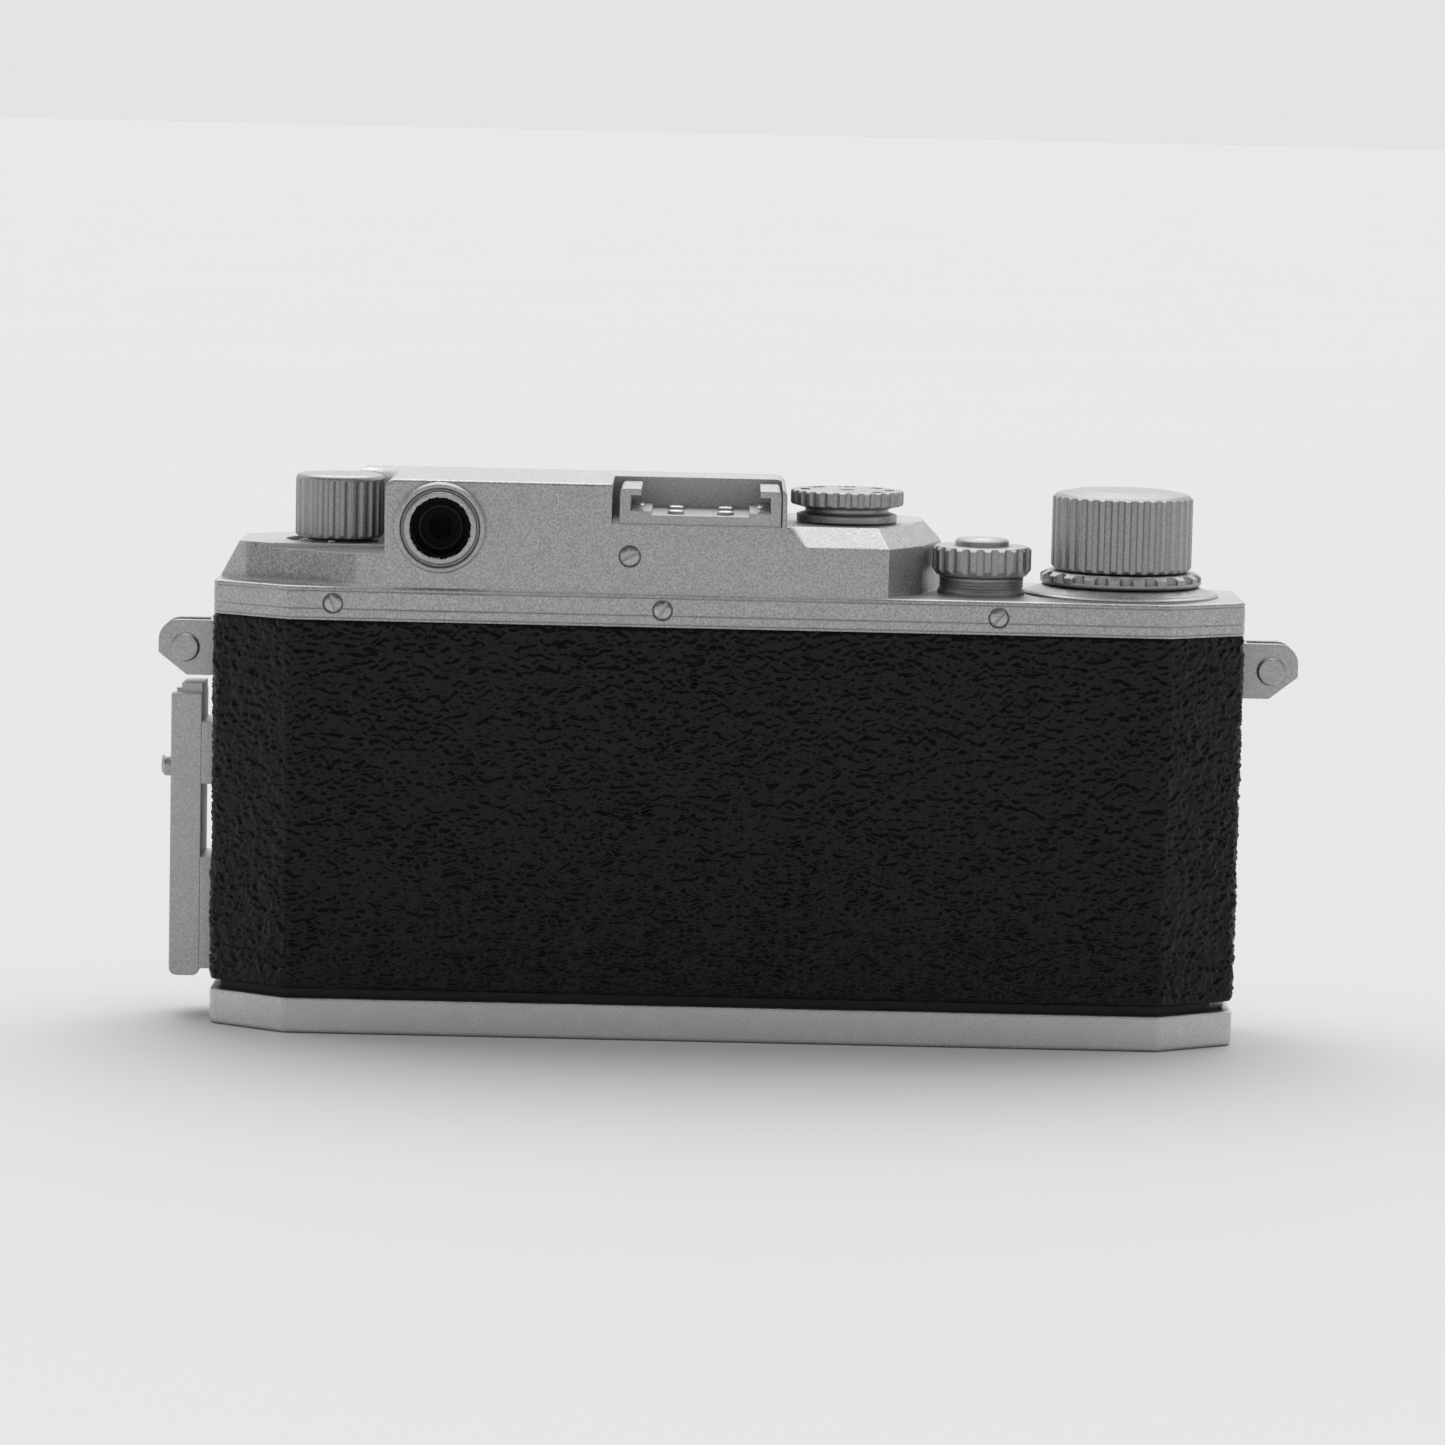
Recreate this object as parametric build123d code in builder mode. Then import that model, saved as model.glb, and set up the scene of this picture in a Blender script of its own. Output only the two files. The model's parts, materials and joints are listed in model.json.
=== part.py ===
from build123d import *
import math
import os

# A bottom-loading 35 mm rangefinder film camera. Millimetres, +Z up.
# The base plate rests on the XY plane, the lens faces -Y and the eyepiece faces +Y.

# ---- Fits and clearances ----------------------------------------------------------------
run_fit = 0.05            # radial running clearance of shafts, pins and bearings
slide_fit = 0.15          # side clearance of nested shells
face_gap = 0.2            # axial gap between faces that turn past each other
tooth_gap = 0.14          # gap between the tips of two gears

# ---- Body envelope ----------------------------------------------------------------------
body_width = 138.0
body_depth = 30.0
facet_x = 10.5            # plan size of the oblique corner facets
facet_y = 6.5
corner_radius = 1.5       # rounding of every bend of the plan
base_height = 4.75
covering_gap = 1.35       # from the base plate up to the covering
cover_bottom = 55.6
cover_height = 4.5        # height of the top cover's band
covering_thickness = 0.7
shell_thickness = 1.2
cover_wall = 1.2
base_wall = 1.2
base_floor = 1.6
lip_thickness = 1.0
lip_rise = 2.0            # how far the lip runs up inside the shell wall
deck_thickness = 1.5
line_width = 0.16         # engraved lines round the top cover
line_depth = 0.12
line_drops = (0.55, 2.9, 4.1)

# ---- Hinge hook and latch ---------------------------------------------------------------
pin_inboard = 1.9         # hinge pin axis, in from the end of the body
pin_rise = 2.55           # hinge pin axis, above the base plate
pin_radius = 0.6
hook_radius = 1.1
hook_width = 8.0
notch_gap = 0.3
hinge_block_width = 13.0
hinge_block_depth = 2.2
key_inboard = 15.1        # key axis, in from the end of the body
key_radius = 10.0
key_thickness = 1.2
key_recess = 1.5
key_boss_radius = 11.5
key_boss_height = 3.0
key_shaft_radius = 2.5
tongue_thickness = 1.0
tongue_width = 5.0
catch_width = 10.0
catch_ledge = 0.8
catch_reach = 1.65

# ---- Tripod bush ------------------------------------------------------------------------
bush_inboard = 19.0
bush_thread_radius = 3.175
bush_depth = 5.4
bush_radius = 6.5
bush_flange_radius = 8.0
bush_flange = 1.0
bush_cap = 0.8

# ---- Rangefinder housing on the top cover ----------------------------------------------
# Rises are heights above the top cover's band.
housing_rise = 14.4
step_rise = 9.1           # level of the shoe's seat and of the dial's block
platform_rise = 5.1
pocket_rise = 4.4
housing_notch = 6.95      # round notch about the rewind axis
housing_end = 1.9         # the housing's front end, in from the rewind axis
housing_inset = 0.25      # rear face of the housing, in from the band
housing_front_inset = 3.0
housing_past_dial = 8.2   # end of the tall part, beyond the dial's axis
recess_wall = 0.6         # wall that closes the shoe's recess
recess_room = 1.05
recess_gap = 0.3          # between the shoe and the recess's front wall
step_past_dial = 11.5
step_facet = 5.4
step_reach = 1.45
step_corner_y = (7.0, 1.5, -3.0, -7.5)   # bends of the end of the dial's block, rear to front
step_bevel = 2.6
bevel_lead = 2.7
platform_inset = 0.6
platform_slope = 2.6
platform_corner = 4.0
platform_front_reach = 3.1
platform_rear_reach = 2.9
platform_side = 7.4       # half depth of the platform where its oblique rear wall starts
pocket_gap = 1.25         # moat between the rewind knob and the platform
ledge_front = 8.6
ledge_reach = 8.0
housing_wall = 1.2
edge_softening = 0.35

# ---- Accessory shoe ---------------------------------------------------------------------
shoe_inset = 0.25         # rear end of the shoe, in from the housing's rear face
shoe_width = 21.4
shoe_length = 15.2
shoe_slot_width = 18.6
shoe_opening = 15.8
shoe_plate = 1.25
shoe_step = 0.55
shoe_step_width = 3.0
shoe_slot_height = 2.05
shoe_lip = 0.85
shoe_screw_radius = 1.15
shoe_screw_spacing = 6.6
shoe_screw_rows = 8.0

# ---- Controls on the top ----------------------------------------------------------------
rewind_inboard = 16.1     # rewind axis, in from the end of the body
rewind_y = 0.0
rewind_radius = 5.95
rewind_lift = 1.1         # underside of the knob, above the pocket
rewind_height = 8.5
rewind_flutes = 24
rewind_shaft_radius = 2.0
fork_radius = 3.2
fork_height = 4.0
fork_drop = 5.6           # below the top cover
selector_radius = 5.3
selector_bore = 4.5
selector_thickness = 0.4
selector_arm = 6.7
selector_arm_width = 1.6
selector_tip_radius = 0.5
dial_from_release = 18.3
dial_y = 2.0
dial_radius = 7.6
dial_flange_radius = 6.75
dial_flange = 0.9
dial_waist_radius = 5.6
dial_neck = 2.2
dial_rim = 1.95
dial_shaft_radius = 2.0
dial_flutes = 28
release_from_advance = 19.0
release_y = 3.0
collar_radius = 6.65
collar_rise = 2.5
collar_height = 3.9
collar_flutes = 21
neck_radius = 5.65
spigot_radius = 4.9
neck_grooves = 3
button_radius = 3.6
button_height = 4.5
button_proud = 1.0
advance_inboard = 16.2    # advance axis, in from the end of the body
advance_y = 0.0
advance_radius = 9.45
advance_height = 10.3
advance_dome = 0.45
advance_flutes = 34
advance_shaft_radius = 2.2
counter_radius = 10.85
counter_height = 1.75
counter_notches = 20
counter_notch_radius = 0.95
seat_radius = 13.2
seat_cone_radius = 12.2
seat_edge = 0.5
seat_height = 1.2

# ---- Film path --------------------------------------------------------------------------
lens_x = 6.0
lens_z = 31.0
film_space = 3.6          # between the film and the rear wall
mount_rise = 4.3          # how far the mount's seat stands out of the body
frame_width = 36.0
frame_height = 24.0
gate_thickness = 1.2
rail_height = 0.5
pressure_plate_thickness = 1.0
spring_thickness = 0.3
spring_width = 9.0
drum_radius = 4.0
roller_reach = 27.0       # spring rollers, across from the lens axis
roller_radius = 2.4
curtain_thickness = 0.25
curtain_height = 28.0
sprocket_radius = 6.0
sprocket_teeth = 8
perforation_pitch = 28.2
spool_core_radius = 5.0
spool_flange_radius = 11.0
spool_lift = 1.9          # above the covering's lower edge
spool_drop = 1.6          # below the top cover
gear_radius = 9.55
gear_thickness = 1.0

# ---- Lens -------------------------------------------------------------------------------
thread_radius = 19.5
mount_flange_radius = 24.0
mount_neck_radius = 22.5
mount_flange = 1.5
barrel_radius = 24.0
barrel_base = 4.0
sleeve_radius = 18.5
sleeve_bore = 15.5
focus_radius = 24.5
focus_length = 9.5
focus_scallops = 9
head_radius = 18.2
head_length = 4.7
aperture_radius = 18.5
aperture_length = 4.0
rim_length = 4.6
filter_depth = 2.4        # threaded depth of the filter rim
front_bulge = 1.2         # of the front lens
tab_reach = 3.0
tab_angle = 215.0
rim_bore = 12.2

# ---- Front controls ---------------------------------------------------------------------
slow_x = -27.0
slow_z = 42.0
slow_radius = 6.5
slow_shaft_radius = 1.5
lever_x = -44.0
lever_z = 49.0
lever_shaft_radius = 1.2

# ---- Finder and rangefinder -------------------------------------------------------------
eyepiece_radius = 6.05
eyepiece_bore = 5.05
eyepiece_inboard = 7.4    # eyepiece axis, in from the housing's stepped end
eyepiece_rise = 8.1
finder_width = 11.0
finder_height = 8.0
range_inboard = 6.3
range_rise = 5.9
range_radius = 3.4

# ---- Screws of the top cover ------------------------------------------------------------
screw_radius = 1.4
screw_middle_x = 8.9
screw_from_rewind = 0.3
screw_from_release = 1.9
housing_screw_inboard = 2.5
housing_screw_rise = 4.85
housing_screw_radius = 1.5

# ---- Ends of the body -------------------------------------------------------------------
lug_reach = 7.9
lug_drop = 1.6            # below the top cover
lug_height = 7.4
lug_pin_reach = 4.3
lug_ear = 1.3
lug_gap = 3.0
lug_pin_radius = 0.9
lug_head_radius = 1.95
rail_offset = 1.8         # gap between the body and the flash rail
rail_lift = 1.05          # above the base plate
rail_drop = 2.4           # below the strap lug
rail_depth = 4.1
rail_width = 9.0
rail_slot = 5.0
rail_post_drop = 3.8
rail_post_height = 8.4
rail_block_height = 15.2
rail_screw_lift = 2.0
screw_slot_width = 0.5
screw_slot_depth = 0.4
rail_screw_radius = 1.55

half_width = body_width / 2
half_depth = body_depth / 2
cover_top = cover_bottom + cover_height
covering_bottom = base_height + covering_gap
pin_height = base_height + pin_rise
key_x = half_width - key_inboard
bush_x = bush_inboard - half_width
deck_top = cover_bottom + deck_thickness
cover_ceiling = cover_top - cover_wall
shell_inset = covering_thickness + shell_thickness
shell_rear = half_depth - shell_inset
pin_x = -half_width + pin_inboard
film_plane = shell_rear - film_space
flange_front = half_depth + mount_rise
spool_bottom = covering_bottom + spool_lift
spool_top = cover_bottom - spool_drop
fork_top = cover_bottom - fork_drop
housing_rear = half_depth - housing_inset
housing_front = housing_front_inset - half_depth
housing_top = cover_top + housing_rise
step_top = cover_top + step_rise
platform_top = cover_top + platform_rise
pocket_floor = cover_top + pocket_rise
counter_bottom = cover_top + seat_height + face_gap
advance_bottom = counter_bottom + counter_height + face_gap
rewind_bottom = pocket_floor + rewind_lift
collar_bottom = cover_top + collar_rise
button_top = collar_bottom + collar_height + button_proud
rewind_x = half_width - rewind_inboard
advance_x = advance_inboard - half_width
release_x = advance_x + release_from_advance
dial_x = release_x + dial_from_release
housing_left = rewind_x - housing_notch
housing_front_left = rewind_x - housing_end
housing_right = dial_x + housing_past_dial
recess_right = housing_right + recess_wall
shoe_x = recess_right + slide_fit + shoe_width / 2
recess_left = shoe_x + shoe_width / 2 + recess_room
shoe_front = housing_rear - shoe_inset - shoe_length
recess_front = shoe_front - recess_gap
step_right = dial_x - step_past_dial
step_rear_right = dial_x - step_facet
platform_end = half_width - platform_inset
ledge_end = rewind_x + ledge_reach
pocket_radius = rewind_radius + pocket_gap
lug_top = cover_bottom - lug_drop
lug_bottom = lug_top - lug_height
lug_pin_z = (lug_top + lug_bottom) / 2
rail_bottom = base_height + rail_lift
rail_top = lug_bottom - rail_drop
rail_post_top = rail_top - rail_post_drop
rail_post_bottom = rail_post_top - rail_post_height
rail_block_top = rail_bottom + 1 + rail_block_height
rail_screw_z = rail_post_bottom + rail_screw_lift
eyepiece_x = housing_left - eyepiece_inboard
eyepiece_z = cover_top + eyepiece_rise
range_x = housing_right + range_inboard
range_z = cover_top + range_rise
screw_z = cover_bottom + cover_height / 2
roller_x = lens_x + roller_reach
screw_places = (rewind_x - screw_from_rewind, screw_middle_x, release_x - screw_from_release)
housing_screw_x = recess_left - housing_screw_inboard
housing_screw_z = cover_top + housing_screw_rise


def plan_points(inset):
    """Corners of the body's eight-sided plan, drawn inset inside its outer faces."""
    facet_length = math.hypot(facet_x, facet_y)
    level = facet_y * half_width + facet_x * (half_depth - facet_y) - inset * facet_length
    end = half_width - inset
    side = half_depth - inset
    corner_y = (level - facet_y * end) / facet_x
    corner_x = (level - facet_x * side) / facet_y
    quarter = [(end, corner_y), (corner_x, side)]
    left = [(-x, y) for x, y in reversed(quarter)]
    front = [(-x, -y) for x, y in quarter + left]
    return quarter + left + front


def plan_line(top):
    """Cuts a fine line round the body's plan, its upper edge at the given height."""
    with BuildSketch(Plane.XY.offset(top - line_width), mode=Mode.PRIVATE) as inner:
        Polygon(*plan_points(line_depth), align=None)
        fillet(inner.vertices(), corner_radius)
    with BuildSketch(Plane.XY.offset(top - line_width), mode=Mode.PRIVATE) as outline:
        Polygon(*plan_points(-1), align=None)
        add(inner.sketch, mode=Mode.SUBTRACT)
    extrude(outline.sketch, amount=line_width, mode=Mode.SUBTRACT)


def prism_of(points, low, high, mode=Mode.ADD):
    """Adds an upright prism over a closed outline."""
    with BuildSketch(Plane.XY.offset(low), mode=Mode.PRIVATE) as outline:
        Polygon(*points, align=None)
    extrude(outline.sketch, amount=high - low, mode=mode)


def plan_prism(inset, low, high, mode=Mode.ADD):
    """Adds an upright prism of the body's plan with rounded bends."""
    with BuildSketch(Plane.XY.offset(low), mode=Mode.PRIVATE) as outline:
        Polygon(*plan_points(inset), align=None)
        fillet(outline.vertices(), max(corner_radius - inset / 2, 0.4))
    extrude(outline.sketch, amount=high - low, mode=mode)


def block(x, y, z, mode=Mode.ADD):
    """Adds a box between the given low and high limits of each axis."""
    with Locations(((x[0] + x[1]) / 2, (y[0] + y[1]) / 2, (z[0] + z[1]) / 2)):
        Box(x[1] - x[0], y[1] - y[0], z[1] - z[0], mode=mode)


def upright(x, y):
    """Section plane of an upright axis: its X is the radius and its Y is the height."""
    return Plane(origin=(x, y, 0), x_dir=(1, 0, 0), z_dir=(0, -1, 0))


def forward(x, z):
    """Section plane of an axis along the view: its Y runs forward, out of the front."""
    return Plane(origin=(x, 0, z), x_dir=(1, 0, 0), z_dir=(0, 0, -1))


def turned(plane, outline, mode=Mode.ADD):
    """Adds the solid that the outline sweeps about the plane's own Y axis."""
    with BuildSketch(plane, mode=Mode.PRIVATE) as section:
        Polygon(*outline, align=None)
    revolve(section.sketch, axis=Axis(plane.origin, plane.y_dir), mode=mode)


def ring(plane, outer, inner, low, high, mode=Mode.ADD):
    """Adds a plain ring, or a disc where inner is 0."""
    turned(plane, [(inner, low), (outer, low), (outer, high), (inner, high)], mode)


def flutes(plane, radius, count, size, low, high, mode=Mode.SUBTRACT):
    """Cuts or adds evenly spaced round ribs along the plane's Y axis."""
    base = Plane(origin=plane.origin + plane.y_dir * low, x_dir=plane.x_dir, z_dir=plane.y_dir)
    with BuildSketch(base, mode=Mode.PRIVATE) as cutters:
        with PolarLocations(radius, count):
            Circle(size)
    extrude(cutters.sketch, amount=high - low, mode=mode)


def finish(part, name):
    """Labels a finished piece and writes it."""
    part.label = name
    export_step(part, f"parts/{name}.step")


os.makedirs("parts", exist_ok=True)
lens_plane = forward(lens_x, lens_z)
rewind_plane = upright(rewind_x, rewind_y)
dial_plane = upright(dial_x, dial_y)
release_plane = upright(release_x, release_y)
advance_plane = upright(advance_x, advance_y)
key_plane = upright(key_x, 0)
bush_plane = upright(bush_x, 0)
slow_plane = forward(slow_x, slow_z)
lever_plane = forward(lever_x, lever_z)

# ==== Base plate =========================================================================
lip_inset = base_wall + slide_fit
lip_inner = lip_inset + lip_thickness
hook_top = pin_height + hook_radius

with BuildPart() as base_plate:
    plan_prism(0, 0, base_height)
    plan_prism(base_wall, base_floor, base_height, Mode.SUBTRACT)
    fillet(base_plate.faces().sort_by(Axis.Z)[0].edges(), 0.6)
    fillet(base_plate.faces().sort_by(Axis.Z)[-1].outer_wire().edges(), 0.3)
    ring(key_plane, key_boss_radius, 0, base_floor / 2, key_boss_height)
    ring(key_plane, key_radius + 0.3, 0, 0, key_recess, Mode.SUBTRACT)
    ring(key_plane, key_shaft_radius + run_fit, 0, 0, key_boss_height, Mode.SUBTRACT)
    ring(bush_plane, bush_radius, 0, 0, base_floor, Mode.SUBTRACT)
    ring(bush_plane, bush_flange_radius, 0, 0, bush_flange, Mode.SUBTRACT)
    block((-half_width + 0.8, pin_x + hook_radius), (-hook_width / 2, hook_width / 2),
          (base_floor / 2, pin_height))
    with BuildSketch(Plane.XZ.offset(-hook_width / 2)) as hook_eye:
        with Locations((pin_x, pin_height)):
            Circle(hook_radius)
    extrude(amount=hook_width)
    with BuildSketch(Plane.XZ.offset(-hook_width / 2)) as hook_hole:
        with Locations((pin_x, pin_height)):
            Circle(pin_radius + run_fit)
    extrude(amount=hook_width, mode=Mode.SUBTRACT)
finish(base_plate.part, "base_plate")

with BuildPart() as tripod_bush:
    bush_top = bush_depth + bush_cap
    ring(bush_plane, bush_flange_radius, bush_thread_radius, 0, bush_flange)
    ring(bush_plane, bush_radius, bush_thread_radius, bush_flange, bush_depth)
    ring(bush_plane, bush_radius, 0, bush_depth, bush_top)
    chamfer(tripod_bush.faces().sort_by(Axis.Z)[-1].edges(), 0.4)
finish(tripod_bush.part, "tripod_bush")

with BuildPart() as base_key:
    key_bottom = key_recess - key_thickness - 0.1
    ring(key_plane, key_radius, 0, key_bottom, key_bottom + key_thickness)
    with BuildSketch(Plane.XY.offset(key_bottom)) as finger_wells:
        with Locations((key_x, 0)):
            Circle(key_radius - 1.6)
            Rectangle(2 * key_radius, 3.4, mode=Mode.SUBTRACT)
    extrude(amount=0.8, mode=Mode.SUBTRACT)
    ring(key_plane, key_shaft_radius, 0, key_bottom + key_thickness / 2,
         key_boss_height + face_gap + tongue_thickness + 0.6)
finish(base_key.part, "base_key")

with BuildPart() as key_tongue:
    tongue_bottom = key_boss_height + face_gap
    tongue_tip = half_width - lip_inner - catch_reach + 0.95 - face_gap
    with BuildSketch(Plane.XY.offset(tongue_bottom)) as tongue_outline:
        with Locations((key_x, 0)):
            Circle(key_shaft_radius + 1.6)
        with Locations(((key_x + tongue_tip) / 2, 0)):
            Rectangle(tongue_tip - key_x, tongue_width)
        with Locations((key_x, 0)):
            Circle(key_shaft_radius, mode=Mode.SUBTRACT)
    extrude(amount=tongue_thickness)
finish(key_tongue.part, "key_tongue")

# ==== Body shell and its covering ========================================================
lip_bottom = base_floor + run_fit
notch_half = hook_width / 2 + notch_gap
notch_top = hook_top + notch_gap + 0.3


def hook_notch():
    """Clears the hook of the base plate out of an end wall."""
    block((-half_width - 1, pin_x + hook_radius + 0.6), (-notch_half, notch_half), (0, notch_top),
          Mode.SUBTRACT)


def front_shaft_holes():
    """Drills the front wall for the shafts of the slow speed dial and the rewind lever."""
    ring(slow_plane, slow_shaft_radius + run_fit, 0, 0, half_depth, Mode.SUBTRACT)
    ring(lever_plane, lever_shaft_radius + run_fit, 0, 0, half_depth, Mode.SUBTRACT)


with BuildPart() as body_shell:
    plan_prism(covering_thickness, covering_bottom, cover_bottom)
    plan_prism(lip_inset, lip_bottom, covering_bottom)
    plan_prism(shell_inset, covering_bottom + lip_rise, cover_bottom, Mode.SUBTRACT)
    plan_prism(lip_inner, 0, covering_bottom + lip_rise, Mode.SUBTRACT)
    block((-half_width, pin_x + 1.2), (-half_depth, half_depth), (0, covering_bottom), Mode.SUBTRACT)
    block((-half_width + shell_inset, -half_width + shell_inset + hinge_block_depth),
          (-hinge_block_width / 2, hinge_block_width / 2), (covering_bottom, covering_bottom + 4))
    hook_notch()
    with BuildSketch(Plane.XZ.offset(-hinge_block_width / 2)) as shell_pin_hole:
        with Locations((pin_x, pin_height)):
            Circle(pin_radius)
    extrude(amount=hinge_block_width, mode=Mode.SUBTRACT)
    ring(lens_plane, thread_radius, 0, 0, half_depth, Mode.SUBTRACT)
    front_shaft_holes()
finish(body_shell.part, "body_shell")

rail_x = half_width + rail_offset

with BuildPart() as covering:
    plan_prism(0, covering_bottom, cover_bottom)
    plan_prism(covering_thickness, covering_bottom, cover_bottom, Mode.SUBTRACT)
    hook_notch()
    ring(lens_plane, mount_flange_radius, 0, 0, half_depth + 1, Mode.SUBTRACT)
    front_shaft_holes()
    for side in (-1, 1):
        block((side * half_width - 1, side * half_width + 1), (-3.0, 3.0), (lug_bottom, lug_top),
              Mode.SUBTRACT)
    block((half_width - 1, half_width + 1), (-rail_width / 2, rail_width / 2),
          (rail_bottom + 1, rail_block_top), Mode.SUBTRACT)
    block((half_width - 1, half_width + 1), (-rail_width / 2, rail_width / 2),
          (rail_post_bottom, rail_post_top), Mode.SUBTRACT)
finish(covering.part, "covering")

with BuildPart() as hinge_pin:
    with BuildSketch(Plane.XZ.offset(-hinge_block_width / 2)) as pin_section:
        with Locations((pin_x, pin_height)):
            Circle(pin_radius)
    extrude(amount=hinge_block_width)
finish(hinge_pin.part, "hinge_pin")

with BuildPart() as latch_catch:
    catch_outer = half_width - lip_inner
    catch_inner = catch_outer - catch_reach + 0.95
    block((catch_inner, catch_outer), (-catch_width / 2, catch_width / 2), (2.0, 2.0 + catch_ledge))
    block((catch_outer - 0.35, catch_outer), (-catch_width / 2, catch_width / 2), (2.0,
                                                                                   covering_bottom + 0.9))
finish(latch_catch.part, "latch_catch")

# ==== Film gate, rails, pressure plate and shutter =======================================
gate_front = film_plane - rail_height - gate_thickness
gate_rear = film_plane - rail_height
gate_left = lens_x + frame_width / 2 + 14
gate_right = lens_x - frame_width / 2 - 8

with BuildPart() as film_gate:
    block((gate_right, gate_left), (gate_front, gate_rear), (spool_bottom + 0.5, spool_top))
    block((lens_x - frame_width / 2, lens_x + frame_width / 2), (gate_front, gate_rear),
          (lens_z - frame_height / 2, lens_z + frame_height / 2), Mode.SUBTRACT)
    for sign in (-1, 1):
        edge = lens_z + sign * (curtain_height / 2 + 3.0)
        block((dial_x + drum_radius + 0.8, roller_x - roller_radius - 0.8), (5.0 - half_depth, gate_front),
              (edge - 0.6, edge + 0.6))
    block((gate_left - gate_thickness, gate_left), (-shell_rear, gate_front), (spool_bottom + 0.5,
                                                                               spool_top))
finish(film_gate.part, "film_gate")

with BuildPart() as film_rails:
    for sign in (-1, 1):
        for reach in (frame_height / 2 + 2.0, frame_height / 2 + 5.0):
            low = lens_z + sign * reach
            block((gate_right + 1, gate_left - 1), (gate_rear, gate_rear + rail_height - 0.02),
                  (low - 0.6, low + 0.6))
finish(film_rails.part, "film_rails")

plate_front = film_plane + 0.25
plate_rear = plate_front + pressure_plate_thickness

with BuildPart() as pressure_plate:
    block((lens_x - 23, lens_x + 23), (plate_front, plate_rear), (lens_z - 17, lens_z + 17))
    fillet(pressure_plate.edges().filter_by(Axis.Y), 3.0)
finish(pressure_plate.part, "pressure_plate")

with BuildPart() as pressure_spring:
    bow_half = 18.0
    with BuildSketch(Plane.XY.offset(lens_z - spring_width / 2)) as spring_section:
        with BuildLine():
            ThreePointArc((lens_x - bow_half, plate_rear), (lens_x, shell_rear), (lens_x + bow_half,
                                                                                  plate_rear))
            Line((lens_x + bow_half, plate_rear), (lens_x + bow_half - 1, plate_rear))
            ThreePointArc((lens_x + bow_half - 1, plate_rear), (lens_x, shell_rear - spring_thickness),
                          (lens_x - bow_half + 1, plate_rear))
            Line((lens_x - bow_half + 1, plate_rear), (lens_x - bow_half, plate_rear))
        make_face()
    extrude(amount=spring_width)
finish(pressure_spring.part, "pressure_spring")


# ==== Shutter ============================================================================
frame_plates = ((spool_bottom + 0.5, spool_bottom + 1.7), (spool_top - 3.2, spool_top - 2.0))
drum_low = lens_z - curtain_height / 2
drum_high = lens_z + curtain_height / 2
roller_rear_y = dial_y + drum_radius - roller_radius
roller_front_y = roller_rear_y - 2 * roller_radius - 1.2
plate_left = gate_left - 1.4
plate_right = advance_x + spool_flange_radius + 0.8
gear_low = deck_top + 0.25
gear_high = gear_low + gear_thickness

with BuildPart() as shutter_frames:
    for low, high in frame_plates:
        block((plate_right, plate_left), (4.0 - half_depth, gate_front - 0.2), (low, high))
    for plane, radius in ((dial_plane, 1.5), (release_plane, 2.0)):
        ring(plane, radius + run_fit, 0, 0, spool_top, Mode.SUBTRACT)
finish(shutter_frames.part, "shutter_frames")

drum_gear_radius = math.hypot(dial_x - release_x, dial_y - release_y) - gear_radius - tooth_gap

def gear_disc(plane, tip_radius, teeth):
    """Adds a toothed disc at the gear level below the top cover."""
    ring(plane, tip_radius - 0.7, 0, gear_low, gear_high)
    flutes(plane, tip_radius - 0.7, teeth, 0.69, gear_low, gear_high, Mode.ADD)


with BuildPart() as shutter_drum:
    ring(dial_plane, 1.5, 0, frame_plates[0][0], gear_low + 0.5)
    ring(dial_plane, drum_radius, 0, drum_low, drum_high)
    gear_disc(dial_plane, drum_gear_radius, 22)
finish(shutter_drum.part, "shutter_drum")

with BuildPart() as spring_rollers:
    for roller_y in (roller_rear_y, roller_front_y):
        roller_plane = upright(roller_x, roller_y)
        ring(roller_plane, roller_radius, 0, drum_low, drum_high)
        ring(roller_plane, 0.8, 0, frame_plates[0][1], frame_plates[1][0])
finish(spring_rollers.part, "spring_rollers")

curtain_front = dial_y + drum_radius + 0.08

with BuildPart() as first_curtain:
    block((dial_x, roller_x), (curtain_front, curtain_front + curtain_thickness), (drum_low, drum_high))
finish(first_curtain.part, "first_curtain")

with BuildPart() as second_curtain:
    second_front = curtain_front + curtain_thickness + 0.15
    second_depth = (second_front, second_front + curtain_thickness)
    for low in (drum_low + 1.0, drum_high - 3.0):
        block((dial_x, roller_x), second_depth, (low, low + 2.0))
    block((dial_x + 2, dial_x + 5), second_depth, (drum_low + 1.0, drum_high - 1.0))
finish(second_curtain.part, "second_curtain")

# ==== Film transport =====================================================================
with BuildPart() as sprocket:
    ring(release_plane, 2.0, 0, frame_plates[0][0], gear_low + 0.5)
    ring(release_plane, 4.2, 0, lens_z - 16.5, lens_z + 16.5)
    for side in (-1, 1):
        rim = lens_z + side * perforation_pitch / 2
        ring(release_plane, sprocket_radius, 0, rim - 1.6, rim + 1.6)
        flutes(release_plane, sprocket_radius, sprocket_teeth, 1.0, rim - 0.9, rim + 0.9, Mode.ADD)
    gear_disc(release_plane, gear_radius, 24)
finish(sprocket.part, "sprocket")

with BuildPart() as takeup_spool:
    turned(advance_plane, [(0, spool_bottom), (spool_flange_radius, spool_bottom),
                           (spool_flange_radius, spool_bottom + 1.2), (spool_core_radius,
                                                                       spool_bottom + 2.0),
                           (spool_core_radius, spool_top - 2.0), (spool_flange_radius, spool_top - 1.2),
                           (spool_flange_radius, spool_top), (0, spool_top)])
    ring(advance_plane, advance_shaft_radius + run_fit, 0, spool_top - 7, spool_top, Mode.SUBTRACT)
    block((advance_x - 0.6, advance_x + 0.6), (-spool_core_radius - 1, spool_core_radius + 1),
          (lens_z - 14, lens_z + 12), Mode.SUBTRACT)
finish(takeup_spool.part, "takeup_spool")

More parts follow.
